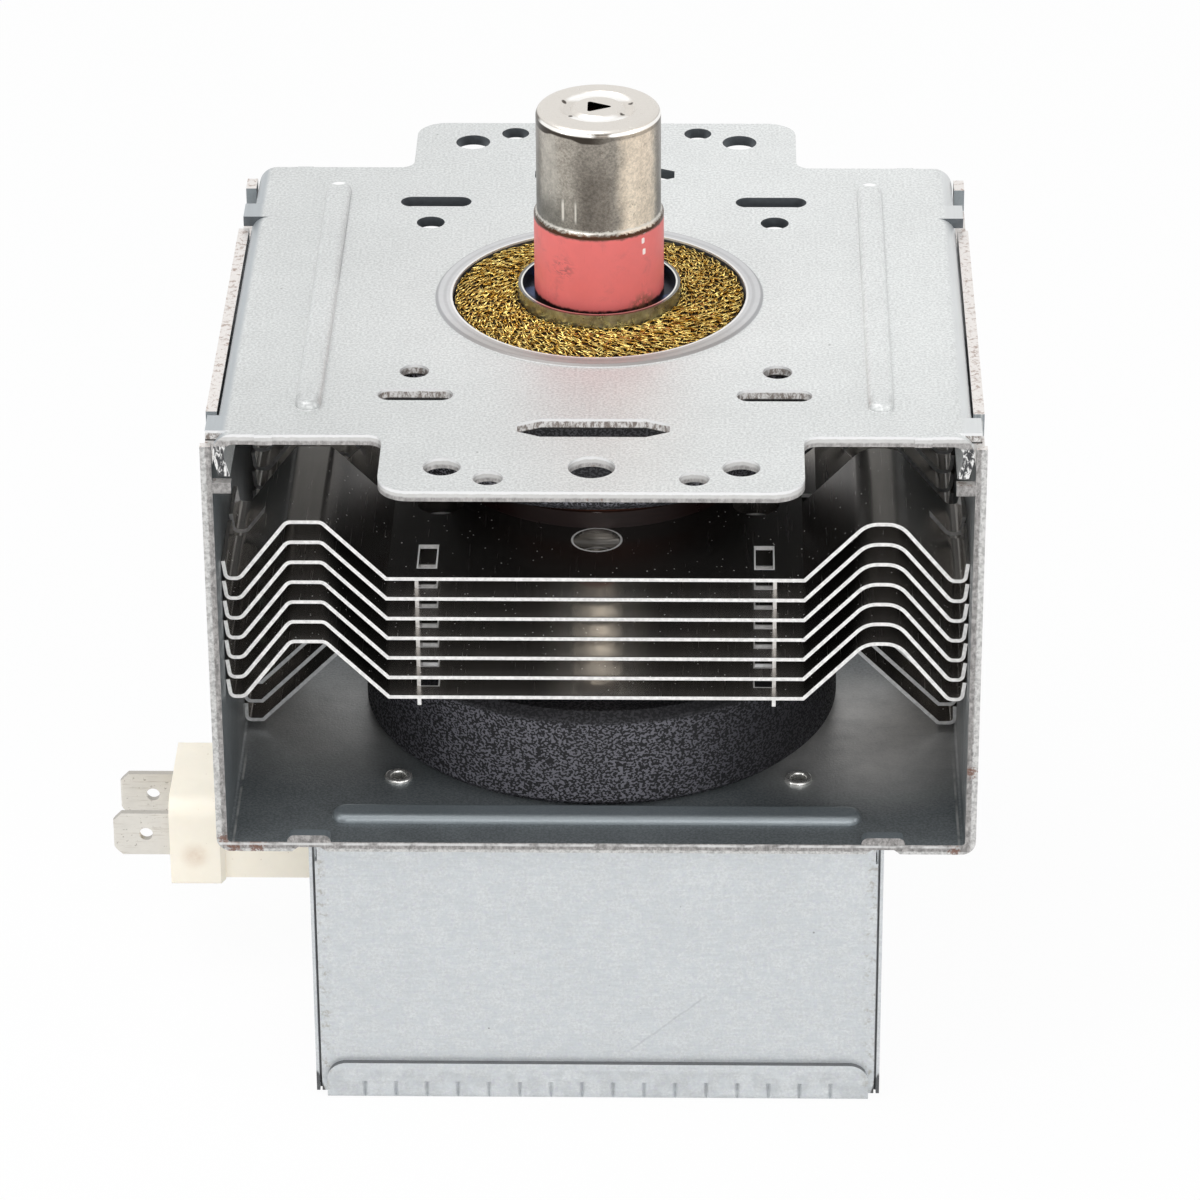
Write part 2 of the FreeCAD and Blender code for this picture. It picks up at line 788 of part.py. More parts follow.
def fin_shape():
    gauge = s.fin_gauge.value
    foot = s.frame_inner_half.value - s.foot_clearance.value - gauge
    flat = s.fin_flat_half.value
    foot_height = fin_foot_height.value
    drop = (s.fin_gauge + s.middle_strip_clearance - s.magnet_height - s.fin_bottom_gap).value
    middle_half = [
        ((s.magnet_radius - s.middle_bend_inset).value, 0, 0),
        (foot - s.middle_foot_width.value, drop, 0),
        (foot, drop, s.foot_round.value),
        (foot, drop + foot_height, 0),
    ]
    right_half = outer_strip(flat, foot, s.peak_width, s.peak_shift, s.peak_round)
    left_half = outer_strip(flat, foot, s.left_peak_width, s.left_peak_shift, s.left_peak_round)
    outer_path = bent_path(mirrored_corners(right_half, left_half))
    middle_path = bent_path(mirrored_corners(middle_half, middle_half))
    depth = (plate_half_depth - s.fin_margin).value
    inner = s.slit_inner.value
    outer = s.slit_outer.value
    fin = folded_strip(middle_path, -inner, inner)
    fin = fin.fuse([
        folded_strip(outer_path, -depth, -outer),
        folded_strip(outer_path, outer, depth),
        box_shape(-flat, flat, -outer, outer, -gauge, 0),
    ])
    return fin_openings(fin.removeSplitter())


def fin_openings(fin):
    """Bore with its collar, round holes, tab windows and the slits of the outer strips."""
    gauge = s.fin_gauge.value
    bore = s.anode_radius.value
    collar = bore + s.collar_gauge.value
    height = fin_foot_height.value
    window = s.window_start.value
    window_end = window + s.window_length.value
    down = Vector(0, 0, -gauge)
    cuts = [Part.makeCylinder(bore, gauge, down)]
    hole = s.fin_hole_radius.value
    hole_y = collar + hole + s.fin_hole_web.value
    side_reach = collar + hole + s.side_hole_web.value
    side_angle = math.radians(s.side_hole_angle.value)
    side_x = side_reach * math.cos(side_angle)
    side_y = side_reach * math.sin(side_angle)
    for side in (1, -1):
        cuts.append(Part.makeCylinder(hole, gauge, Vector(0, hole_y * side, -gauge)))
        for end in (1, -1):
            place = Vector(side_x * end, side_y * side, -gauge)
            cuts.append(Part.makeCylinder(hole, gauge, place))
    tabs = []
    window_front = (plate_half_depth - s.fin_margin - s.window_margin).value
    for y1, y2 in mirrored_spans(window_front - s.window_depth.value, window_front):
        cuts.append(box_shape(window, window_end, y1, y2, -gauge, 0))
        cuts.append(box_shape(-window_end, -window, y1, y2, -gauge, 0))
        reach = -fin_pitch.value
        tabs.append(box_shape(window_end, window_end + gauge, y1, y2, reach, -gauge))
        tabs.append(box_shape(-window_end - gauge, -window_end, y1, y2, reach, -gauge))
    reach = s.frame_inner_half.value
    start = reach - s.foot_clearance.value - gauge - s.fin_notch_depth.value
    tall = s.peak_height.value
    near_y = s.fin_notch_y.value
    for y1, y2 in mirrored_spans(near_y, near_y + s.fin_notch_width.value):
        cuts.append(box_shape(start, reach, y1, y2, -gauge, tall))
        cuts.append(box_shape(-reach, -start, y1, y2, -gauge, tall))
    fin = fin.cut(cuts)
    ring = Part.makeCylinder(collar, height + gauge, down)
    ring = ring.cut(Part.makeCylinder(bore, height + gauge, down))
    return fin.fuse([ring] + tabs).removeSplitter()


def mirrored_spans(near_y, far_y):
    return [(near_y, far_y), (-far_y, -near_y)]


def cooling_fins():
    shape = fin_shape()
    for number in range(int(s.fin_count.value)):
        level = fin_top - fin_pitch * number
        feature_part(f"cooling_fin_{number + 1}", shape, level)


# Anode: copper tube with its vanes, strap rings and the two pole pieces
def anode():
    top = magnet_bottom
    bottom = lower_magnet_top
    body = new_body("anode_shell")
    tube = new_sketch(body, "tube", "XY_Plane", bottom + s.pole_gauge)
    circle(tube, ZERO, ZERO, s.anode_radius)
    circle(tube, ZERO, ZERO, anode_bore)
    pad(body, tube, top - bottom - s.pole_gauge * 2)
    vanes()
    strap_rings()
    upper = pole_piece("upper_pole_piece", top, -1)
    pole_piece("lower_pole_piece", bottom, 1)
    hole = new_sketch(upper, "lead_hole", "XY_Plane", top)
    circle(hole, s.antenna_lead_place, ZERO, s.antenna_lead_radius + s.lead_clearance)
    pocket(upper, hole, s.pole_gauge + s.pole_dish)


def vanes():
    """Plates that point from the anode's wall at the cathode."""
    count = int(s.vane_count.value)
    bottom = anode_middle - s.vane_height * 0.5
    slot_bottom = s.strap_height
    for number in range(count):
        body = new_body(f"vane_{number + 1:02d}")
        plate = new_sketch(body, "plate", "XZ_Plane")
        tip = s.vane_tip
        slot_in = s.strap_inner - s.braze_gap * 2
        slot_out = s.strap_outer + s.strap_width + s.braze_gap
        root = anode_bore - s.braze_gap
        top = bottom + s.vane_height
        outline(plate, [
            (tip, bottom),
            (slot_in, bottom),
            (slot_in, bottom + slot_bottom),
            (slot_out, bottom + slot_bottom),
            (slot_out, bottom),
            (root, bottom),
            (root, top),
            (slot_out, top),
            (slot_out, top - slot_bottom),
            (slot_in, top - slot_bottom),
            (slot_in, top),
            (tip, top),
        ])
        pad(body, plate, s.vane_gauge, both_ways=True)
        body.Placement = Placement(Vector(), Rotation(Vector(0, 0, 1), 360.0 * number / count))


def strap_rings():
    """Two rings in the upper slots of the vanes and two in the lower ones."""
    half = s.vane_height * 0.5
    levels = {
        "upper": anode_middle + half - s.strap_height,
        "lower": anode_middle - half,
    }
    for row, level in levels.items():
        for place, radius in (("inner", s.strap_inner), ("outer", s.strap_outer)):
            body = new_body(f"{row}_{place}_strap")
            ring = new_sketch(body, "ring", "XY_Plane", level)
            circle(ring, ZERO, ZERO, radius + s.strap_width)
            circle(ring, ZERO, ZERO, radius)
            pad(body, ring, s.strap_height)


def pole_piece(label, face, inward):
    """Dished iron disc on the magnet's face, its centre drawn in towards the vanes."""
    gauge = s.pole_gauge * inward
    dish = s.pole_dish * inward
    return turned(label, [
        (s.pole_bore, face + dish),
        (cup_inner, face),
        (s.anode_radius, face),
        (s.anode_radius, face + gauge),
        (cup_inner + s.pole_gauge, face + gauge),
        (s.pole_bore + s.pole_gauge * 0.5, face + dish + gauge),
        (s.pole_bore, face + dish + gauge),
    ])


# Seal cups, ceramics and the antenna
def seal_cups():
    """Thin steel cups that carry the ceramics through the bores of the magnets."""
    outer = s.cup_radius
    floor = s.cup_floor
    step_in = s.antenna_ceramic_bore
    turned("upper_seal_cup", [
        (cup_inner, magnet_bottom),
        (outer, magnet_bottom),
        (outer, s.cup_lip),
        (cup_inner, s.cup_lip),
        (cup_inner, floor),
        (step_in, floor),
        (step_in, floor - s.cup_gauge),
        (cup_inner, floor - s.cup_gauge),
    ])
    lower_floor = floor_under - s.frame_gauge
    turned("lower_seal_cup", [
        (cup_inner, lower_magnet_top),
        (outer, lower_magnet_top),
        (outer, lower_floor),
        (stem_bore, lower_floor),
        (stem_bore, lower_floor + s.cup_gauge),
        (cup_inner, lower_floor + s.cup_gauge),
    ])


def antenna():
    turned("antenna_ceramic", [
        (s.antenna_ceramic_bore, s.cup_floor),
        (s.antenna_ceramic_radius, s.cup_floor),
        (s.antenna_ceramic_radius, s.antenna_ceramic_top),
        (s.antenna_ceramic_bore, s.antenna_ceramic_top),
    ])
    antenna_cap()
    exhaust_tube()
    antenna_lead()


def antenna_cap():
    """Drawn cap: flared rim on the ceramic, low crown with a pressed ring round its vent."""
    rim = s.antenna_ceramic_top
    rim_radius = s.antenna_ceramic_radius
    radius = rim_radius - s.cap_inset
    top = s.cap_top
    under = top - s.cap_wall
    crown_top = top + s.cap_crown
    crown_under = crown_top - s.cap_wall
    ring_floor = crown_top - s.cap_ring_depth
    ring_under = ring_floor - s.cap_wall
    ring_outer = s.cap_ring_outer
    ring_inner = s.cap_ring_inner
    slope = s.cap_ring_slope
    inner = radius - s.cap_wall
    body = turned("antenna_cap", [
        (inner, rim),
        (rim_radius, rim),
        (rim_radius, rim + s.cap_rim_height),
        (radius, rim + s.cap_rim_height * 2),
        (radius, top),
        (ring_outer, crown_top),
        (ring_outer - slope, ring_floor),
        (ring_inner + slope, ring_floor),
        (ring_inner, crown_top),
        (ZERO, crown_top),
        (ZERO, crown_under),
        (ring_inner, crown_under),
        (ring_inner + slope, ring_under),
        (ring_outer - slope, ring_under),
        (ring_outer, crown_under),
        (inner, under),
    ])

    def crown(middle, start, end):
        return near(middle.z, top.value) and near(math.hypot(middle.x, middle.y), radius.value)

    dress_edges(body, "Fillet", s.cap_edge_radius, crown)

    def crown_inside(middle, start, end):
        return near(middle.z, under.value) and near(math.hypot(middle.x, middle.y), inner.value)

    dress_edges(body, "Fillet", s.cap_edge_radius - s.cap_wall, crown_inside)
    vent = new_sketch(body, "vent", "XY_Plane", crown_top)
    tail = s.cap_hole_shift - s.cap_hole_length * 0.5
    tip = s.cap_hole_shift + s.cap_hole_length * 0.5
    half = s.cap_hole_width * 0.5
    outline(vent, [(tail, -half), (tip, ZERO), (tail, half)])
    pocket(body, vent, s.cap_wall)

    def vent_corner(middle, start, end):
        return along("z", start, end) and middle.z > crown_under.value

    dress_edges(body, "Fillet", s.cap_hole_round, vent_corner)


def exhaust_tube():
    """Copper tube brazed inside the ceramic, pinched flat at its upper end."""
    radius = s.exhaust_radius
    level = s.antenna_ceramic_top - s.cap_wall
    top = s.cap_top - s.exhaust_gap
    shoulder = top - s.pinch_length
    body = turned("exhaust_tube", [
        (radius - s.exhaust_wall, s.exhaust_bottom),
        (radius, s.exhaust_bottom),
        (radius, level),
        (s.antenna_ceramic_bore, level),
        (s.antenna_ceramic_bore, level + s.cap_wall),
        (radius, level + s.cap_wall),
        (radius, shoulder),
        (ZERO, shoulder),
        (ZERO, shoulder - s.pinch_length),
        (radius - s.exhaust_wall, shoulder - s.pinch_length),
    ])
    pinch = new_sketch(body, "pinch", "XZ_Plane")
    rectangle(pinch, -radius, radius, shoulder, top)
    pad(body, pinch, s.pinch_gauge, both_ways=True)


def antenna_lead():
    """Round lead from the top of one vane, through the pole piece, up into the tube."""
    radius = s.antenna_lead_radius.value
    place = s.antenna_lead_place.value
    foot = (anode_middle + s.vane_height * 0.5).value
    stops = [
        Vector(place, 0, foot),
        Vector(place, 0, -s.antenna_lead_turn.value),
        Vector(0, 0, -s.antenna_lead_turn.value + place),
        Vector(0, 0, s.exhaust_bottom.value + radius),
    ]
    feature_part("antenna_lead", rod_through(stops, radius))


def rod_through(stops, radius):
    """Round rod along straight runs, with a ball at each corner."""
    pieces = [Part.makeSphere(radius, stop) for stop in stops[1:-1]]
    for start, end in zip(stops, stops[1:]):
        step = end - start
        pieces.append(Part.makeCylinder(radius, step.Length, start, step))
    return pieces[0].fuse(pieces[1:]).removeSplitter()


def rf_gasket():
    """Ring of knitted wire that fills the gap round the seal cup."""
    inner = s.cup_radius
    outer = s.gasket_hole_radius - s.gasket_fit
    turned("rf_gasket", [
        (inner, plate_under),
        (outer, plate_under),
        (outer, -s.gasket_shoulder),
        (inner + s.gasket_slope_place, s.gasket_slope_height),
        (inner + s.gasket_crest_place, s.gasket_crest),
        (inner, s.gasket_inner_height),
    ])


# Cathode, its leads and the stem
def cathode():
    half = s.filament_height * 0.5
    bottom = anode_middle - half
    hat_face = bottom + s.filament_height
    for label, level in (("upper_end_hat", hat_face), ("lower_end_hat", bottom - s.hat_gauge)):
        body = new_body(label)
        disc = new_sketch(body, "disc", "XY_Plane", level)
        circle(disc, ZERO, ZERO, s.hat_radius)
        circle(disc, ZERO, ZERO, s.lead_radius)
        pad(body, disc, s.hat_gauge)
    turned("filament", ridged_tube(
        s.filament_radius - s.filament_wire,
        s.filament_radius + s.filament_wire,
        s.filament_wire,
        bottom,
        s.filament_height,
        int(s.filament_turns.value),
    ))
    top = (hat_face + s.hat_gauge).value
    stem_floor = (floor_under - s.frame_gauge).value
    stem_end = stem_floor - s.stem_length.value
    spread = s.blade_y.value
    side = s.side_lead_place.value
    end = connector_middle.value
    radius = s.lead_radius.value
    turn = stem_end - radius
    feature_part("centre_lead", rod_through([
        Vector(0, 0, top),
        Vector(0, 0, turn),
        Vector(0, spread, turn - spread),
        Vector(0, spread, end),
    ], radius))
    feature_part("side_lead", rod_through([
        Vector(0, -side, (bottom - s.hat_gauge).value),
        Vector(0, -side, turn),
        Vector(0, -spread, turn - spread + side),
        Vector(0, -spread, end),
    ], radius))
    stem_ceramic()


def ridged_tube(bore, crest, groove, start, length, turns):
    """Section of a close-wound coil: a tube with one ridge for each turn."""
    step = length * (1.0 / turns)
    root = crest - groove
    corners = [(bore, start), (root, start)]
    for turn in range(turns):
        corners.append((crest, start + step * (turn + 0.5)))
        corners.append((root, start + step * (turn + 1)))
    corners.append((bore, start + length))
    return corners


def stem_ceramic():
    """Ceramic plug below the lower cup, bored for the two leads."""
    body = new_body("stem_ceramic")
    level = floor_under - s.frame_gauge - s.stem_length
    disc = new_sketch(body, "disc", "XY_Plane", level)
    circle(disc, ZERO, ZERO, s.antenna_ceramic_radius)
    circle(disc, ZERO, ZERO, s.lead_radius)
    circle(disc, ZERO, -s.side_lead_place, s.lead_radius)
    pad(body, disc, s.stem_length)


# Filter box below the floor, its lid and the supply connector
def filter_box():
    body = new_body("filter_box")
    width = s.box_half_width
    depth = box_half_depth
    block = new_sketch(body, "block", "XY_Plane", box_bottom)
    rectangle(block, -width, width, -depth, depth)
    pad(body, block, s.box_height)
    hollow = new_sketch(body, "hollow", "XY_Plane", box_bottom)
    inner_depth = depth - s.box_gauge
    rectangle(hollow, -box_wall_inner, box_wall_inner, -inner_depth, inner_depth)
    pocket(body, hollow, s.box_height - s.box_gauge, backwards=True)
    for name, level in (("front_seams", depth), ("rear_seams", s.box_gauge - depth)):
        box_seams(body, name, level)
    openings = new_sketch(body, "openings", "XY_Plane", floor_under)
    circle(openings, ZERO, ZERO, s.cup_radius + s.frame_gauge * 0.5)
    for x in (s.eyelet_x, -s.eyelet_x):
        for y in (eyelet_y, -eyelet_y):
            circle(openings, x, y, s.eyelet_radius)
    pocket(body, openings, s.box_gauge)
    port = new_sketch(body, "port", "YZ_Plane", -width)
    half_depth = s.connector_half_depth - s.connector_neck_inset
    half_height = s.connector_half_height - s.connector_neck_inset
    rectangle(
        port,
        -half_depth,
        half_depth,
        connector_middle - half_height,
        connector_middle + half_height,
    )
    pocket(body, port, s.box_gauge, backwards=True)


def box_seams(body, name, level):
    """Slits beside the folded-down end panel, wider at their upper end."""
    seams = new_sketch(body, name, "XZ_Plane", level)
    notch_floor = floor_under - s.box_notch_height
    for side in (1, -1):
        edge = (s.box_half_width - s.box_slit_inset) * side
        rectangle(seams, *ordered(edge, edge - s.box_slit * side), box_bottom, notch_floor)
        far = edge - s.box_notch_width * side
        rectangle(seams, *ordered(edge, far), notch_floor, floor_under)
    pocket(body, seams, s.box_gauge)


def ordered(one, other):
    return (one, other) if one.value < other.value else (other, one)


def box_lid():
    """Bottom cover whose front and rear lips lie over the box and are crimped to it."""
    body = new_body("box_lid")
    half_width = s.box_half_width - s.lid_inset
    inner = box_half_depth
    outer = inner + s.lid_gauge
    bottom = box_bottom - s.lid_gauge
    top = bottom + s.lip_height
    section = new_sketch(body, "section", "YZ_Plane")
    rear = [(outer, bottom), (outer, top), (inner, top), (inner, box_bottom)]
    outline(section, rear + [(-y, z) for y, z in reversed(rear)])
    pad(body, section, half_width * 2, both_ways=True)

    def lip_corner(middle, start, end):
        at_end = near(abs(middle.x), half_width.value)
        return along("y", start, end) and at_end and near(middle.z, top.value)

    def bottom_bend(middle, start, end):
        at_bend = near(abs(middle.y), outer.value) and near(middle.z, bottom.value)
        return along("x", start, end) and at_bend

    dress_edges(body, "Fillet", s.lip_corner_radius, lip_corner)
    dress_edges(body, "Fillet", s.lid_gauge, bottom_bend)
    for side in (1, -1):
        crimps(body, side, outer, bottom)


def crimps(body, side, face, bottom):
    """Row of V grooves pressed into the lower half of one lip."""
    name = "rear_crimp" if side > 0 else "front_crimp"
    sketch = new_sketch(body, name, "XY_Plane", bottom)
    half = s.crimp_width * 0.5
    start = -s.crimp_pitch * ((int(s.crimp_count.value) - 1) / 2)
    lip = face * side
    outline(sketch, [
        (start - half, lip),
        (start + half, lip),
        (start, (face - s.crimp_depth) * side),
    ])
    first = pocket(body, sketch, s.crimp_height, backwards=True)
    row = body.newObject("PartDesign::LinearPattern", f"{first.Name}_row")
    row.Originals = [first]
    row.Direction = (origin_feature(body, "X_Axis"), [""])
    row.setExpression("Length", (s.crimp_pitch * (int(s.crimp_count.value) - 1)).formula)
    row.Occurrences = int(s.crimp_count.value)
    body.Tip = row
    doc.recompute()


def connector():
    """Moulded two-pole connector on the left wall, with its blades and earth plate."""
    connector_body()
    blade("front_blade", -s.blade_y)
    blade("rear_blade", s.blade_y)
    body = new_body("capacitor_earth_plate")
    plate = new_sketch(body, "plate", "YZ_Plane", -box_wall_inner)
    half_depth = s.earth_plate_half_depth
    half_height = s.earth_plate_half_height
    middle = connector_middle
    rectangle(plate, -half_depth, half_depth, middle - half_height, middle + half_height)
    pad(body, plate, s.earth_plate_gauge)
    port = new_sketch(body, "port", "YZ_Plane", -box_wall_inner)
    inset = s.connector_neck_inset
    neck_depth = s.connector_half_depth - inset
    neck_height = s.connector_half_height - inset
    rectangle(port, -neck_depth, neck_depth, middle - neck_height, middle + neck_height)
    pocket(body, port, s.earth_plate_gauge, backwards=True)


def connector_body():
    body = new_body("connector_body")
    middle = connector_middle
    head = new_sketch(body, "head", "YZ_Plane", -connector_end)
    half_depth = s.connector_half_depth
    half_height = s.connector_half_height
    rectangle(head, -half_depth, half_depth, middle - half_height, middle + half_height)
    pad(body, head, s.connector_head)

    def front_edge(point, start, end):
        return along("x", start, end) and point.y < 0 and point.z > middle.value

    def other_edge(point, start, end):
        return along("x", start, end) and (point.y > 0 or point.z < middle.value - half_height.value / 2)

    dress_edges(body, "Fillet", s.connector_front_round, front_edge)
    dress_edges(body, "Fillet", s.connector_edge_round, other_edge)
    neck_start = s.connector_head - connector_end

    def back_edge(point, start, end):
        return near(start.x, neck_start.value) and near(end.x, neck_start.value)

    dress_edges(body, "Chamfer", s.connector_back_bevel, back_edge)
    neck = new_sketch(body, "neck", "YZ_Plane", neck_start)
    inset = s.connector_neck_inset
    neck_depth = half_depth - inset
    neck_height = half_height - inset
    rectangle(neck, -neck_depth, neck_depth, middle - neck_height, middle + neck_height)
    pad(body, neck, -neck_start - box_wall_inner + s.earth_plate_gauge)
    slots = new_sketch(body, "blade_slots", "YZ_Plane", -connector_end)
    half_gauge = s.blade_gauge * 0.5
    half_tail = s.tail_height * 0.5
    for y in (s.blade_y, -s.blade_y):
        rectangle(slots, y - half_gauge, y + half_gauge, middle - half_tail, middle + half_tail)
    pocket(body, slots, connector_end, backwards=True)


def blade(label, y):
    """Flat blade with bevelled end and a hole, and a narrower tail through the connector."""
    body = new_body(label)
    middle = connector_middle
    half = s.blade_height * 0.5
    tail = s.tail_height * 0.5
    bevel = s.blade_bevel
    root = -connector_end
    end = root - s.blade_length
    profile = new_sketch(body, "profile", "XZ_Plane", -y - s.blade_gauge * 0.5)
    outline(profile, [
        (end, middle - half + bevel),
        (end + bevel, middle - half),
        (root, middle - half),
        (root, middle - tail),
        (-blade_tail, middle - tail),
        (-blade_tail, middle + tail),
        (root, middle + tail),
        (root, middle + half),
        (end + bevel, middle + half),
        (end, middle + half - bevel),
    ])
    circle(profile, root - s.blade_hole_place, middle, s.blade_hole_radius)
    pad(body, profile, s.blade_gauge)

    def tip_edge(point, start, finish):
        return near(point.x, end.value) and along("z", start, finish)

    dress_edges(body, "Chamfer", s.blade_tip_bevel, tip_edge)


def chokes():
    """Wound choke coils from the blades' tails to the leads, each round a ferrite core."""
    turns = int(s.choke_turns.value)
    start = -blade_tail
    length = blade_tail - s.lead_radius
    for label, y in (("front_choke", -s.blade_y), ("rear_choke", s.blade_y)):
        coil = ridged_tube(s.choke_bore, s.choke_radius, s.choke_groove, ZERO, length, turns)
        lay_along_x(turned(label, coil), start, y)
        core = s.choke_bore - s.core_clearance
        inset = s.core_overhang
        lay_along_x(
            turned(f"{label}_core", [
                (ZERO, inset),
                (core, inset),
                (core, length - inset),
                (ZERO, length - inset),
            ]),
            start,
            y,
        )


def lay_along_x(body, start, y):
    body.Placement = Placement(Vector(), Rotation(Vector(0, 1, 0), 90))
    body.setExpression("Placement.Base.x", start.formula)
    body.setExpression("Placement.Base.y", y.formula)
    body.setExpression("Placement.Base.z", connector_middle.formula)


def frame_eyelets():
    """Four tubular eyelets that clinch the filter box to the frame's floor."""
    outer = s.eyelet_radius
    inner = outer - s.eyelet_gauge
    rim = outer + s.eyelet_rim
    top = floor_top
    under = floor_under - s.box_gauge
    half_section = [
        (inner, under - s.eyelet_gauge),
        (rim, under - s.eyelet_gauge),
        (rim, under),
        (outer, under),
        (outer, top),
        (rim, top),
        (rim, top + s.eyelet_gauge),
        (inner, top + s.eyelet_gauge),
    ]
    corners = [Vector(x.value, 0, z.value) for x, z in half_section]
    wire = Part.makePolygon(corners + corners[:1])
    eyelet = Part.Face(wire).revolve(Vector(), Vector(0, 0, 1), 360)
    crest = (top + s.eyelet_gauge).value
    rolled = [edge for edge in eyelet.Edges if near(edge.BoundBox.ZMin, crest)]
    eyelet = eyelet.makeFillet(s.eyelet_round.value, rolled)
    placed = []
    for x in (s.eyelet_x.value, -s.eyelet_x.value):
        for y in (eyelet_y.value, -eyelet_y.value):
            placed.append(eyelet.translated(Vector(x, y, 0)))
    feature_part("frame_eyelets", Part.makeCompound(placed))


def write_parts():
    doc.recompute()
    for item in doc.Objects:
        check_state(item)
    os.makedirs("parts", exist_ok=True)
    for item in parts:
        if item.Shape.isNull() or not item.Shape.isValid():
            raise ValueError(f"{item.Label} has no valid shape")
        item.Shape.exportStep(f"parts/{item.Label}.step")


mounting_plate()
yoke_frame()
magnet("upper_magnet", magnet_bottom)
magnet("lower_magnet", floor_top)
cooling_fins()
anode()
seal_cups()
antenna()
rf_gasket()
cathode()
filter_box()
box_lid()
connector()
chokes()
frame_eyelets()
write_parts()
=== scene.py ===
import math
import random

import bpy
from mathutils import Matrix, Vector


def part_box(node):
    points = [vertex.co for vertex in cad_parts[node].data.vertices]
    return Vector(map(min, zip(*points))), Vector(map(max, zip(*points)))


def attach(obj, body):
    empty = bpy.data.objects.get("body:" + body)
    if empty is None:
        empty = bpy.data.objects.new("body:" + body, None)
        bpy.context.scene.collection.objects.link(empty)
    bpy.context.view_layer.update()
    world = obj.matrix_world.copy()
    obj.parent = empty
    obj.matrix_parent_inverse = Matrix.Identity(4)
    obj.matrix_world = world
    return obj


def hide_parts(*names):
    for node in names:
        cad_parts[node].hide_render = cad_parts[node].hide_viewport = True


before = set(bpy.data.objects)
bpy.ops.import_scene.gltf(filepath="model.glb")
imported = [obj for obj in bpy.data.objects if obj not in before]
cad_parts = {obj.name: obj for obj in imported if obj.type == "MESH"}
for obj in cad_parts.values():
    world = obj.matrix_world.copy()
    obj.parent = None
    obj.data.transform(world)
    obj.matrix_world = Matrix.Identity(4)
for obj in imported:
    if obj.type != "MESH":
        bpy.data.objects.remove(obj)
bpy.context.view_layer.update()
scene = bpy.context.scene
MM = 0.001

# Camera: where the photograph was taken from, looking at a square picture
PHOTO_SIDE = 1200
PHOTO_LENS = 167.97
SENSOR_WIDTH = 36.0
ORIGIN_COLUMN = 599.334
ORIGIN_ROW = 295.266
ORIGIN_DEPTH = 0.622447
CAMERA_AZIMUTH = math.radians(1.294)
CAMERA_ELEVATION = math.radians(28.502)
CAMERA_ROLL = math.radians(-0.369)

# Studio, in metres and watts: each lamp's name, place, width and height, and power
FLOOR_HALF = 6.0
FLOOR_GLOW = 0.95
LAMP_TARGET = (0, 0, -0.03)
LAMPS = (
    ("key_softbox", (-0.25, -0.1, 0.75), (0.6, 0.6), 3.2),
    ("front_softbox", (0.2, -0.8, 0.25), (0.5, 0.4), 2.2),
    ("left_strip", (-0.6, -0.35, 0.15), (0.08, 0.5), 0.8),
    ("right_strip", (0.6, -0.25, 0.2), (0.08, 0.5), 0.8),
)

# The gasket's wires and form, in millimetres. Each wave is cut into steps, and its length,
# reach and lift vary by the shares.
GASKET_SEED = 7
STRAND_COUNT = 23
WAVE_LENGTH = 1.3
STEPS_PER_WAVE = 6
WIRE_RADIUS = 0.1
WIRE_SIDES = 3
WAVE_REACH = 0.42
WAVE_RISE = 0.2
LENGTH_SHARES = (0.85, 1.15)
STRETCH_SHARES = (0.35, 1.7)
CURL_SHARES = (-1.5, 1.5)
LIFT_SHARES = (-1.0, 1.0)
KINK = 0.08
INNER_MARGIN = 0.12
CREST_HEIGHT = 0.5
CREST_FALL = 0.27
FALL_POWER = 1.6
BED_DEPTH = 0.42
BED_RINGS = 5
BED_STEPS = 96

# Zinc's grain, as the scale of its noise
ZINC_GRAIN = 3.4

# The places below are in millimetres in the part's frame.
# Plate: front edge between the ears, side bends, ears' feet, and the ring about the gasket
SHEET_FRONT = -34.4
PLATE_BEND = 38.8
EAR_CORNER_X = 30.7
RING_LIP = 16.65
RING_SLOPE = 17.8
RING_END = 18.3

# Frame: upper face of its floor, inner face and middle of its walls, rust on its edge
FLOOR_TOP = -50.3
WALL_INSIDE = 40.5
WALL_MIDDLE = 41.15
RUST_SPOTS = (
    ((-41.0, -34.6, -49.9), 1.6),
    ((-39.8, -34.6, -50.9), 2.0),
    ((-37.4, -34.6, -50.8), 2.2),
    ((41.0, -34.6, -41.0), 1.7),
    ((39.4, -34.6, -51.0), 1.6),
)

# Filter box: seams, foot, and a scratch along the line fall * x + run * z + shift = 0
BOX_SEAM = 31.3
BOX_FOOT = -80.6
SCRATCH_LINE = (-0.652, 0.758, 61.15)
SCRATCH_MIDDLE = (7.7, -33.7, -74.2)
SCRATCH_REACH = 6.4

# Fins: first fold, front edge, collars with their rounded feet, tab windows and round holes
TOP_FIN_FACE = -20.1
FIN_GAPS = 6
FIN_FOLD = 22.4
FIN_FRONT = -29.0
COLLAR_REACH = 18.0
FOOT_HEIGHT = 1.35
FOOT_CURVE = 0.19
WINDOW_MIDDLE_X = 18.35
WINDOW_HALF_X = 0.95
WINDOW_MIDDLE_Y = 24.2
WINDOW_HALF_Y = 2.6
FIN_HOLE_Y = 20.15
FIN_HOLE_RADIUS = 2.6

# Antenna: cap's foot and upper edge, marks on its wall and top, marks on the ceramic, and
# the seal cup's lip
CAP_FOOT = 10.85
CAP_EDGE = 22.3
CAP_LINES = ((-3.8, 0.1), (-2.4, 0.07))
VENT_TICKS = ((-3.74, 1.55), (3.49, 1.37), (-2.98, -2.0), (2.7, -1.58))
CERAMIC_SMUDGE = (-3.6, -5.6, 6.1)
CERAMIC_DASHES = (
    ((5.1, -5.05, 10.3), 0.75),
    ((4.95, -5.2, 9.1), 0.6),
    ((5.05, -5.1, 7.75), 0.63),
)
CUP_LIP = 8.6

CONNECTOR_SMUDGE = (-47.2, -7.3, -68.6)


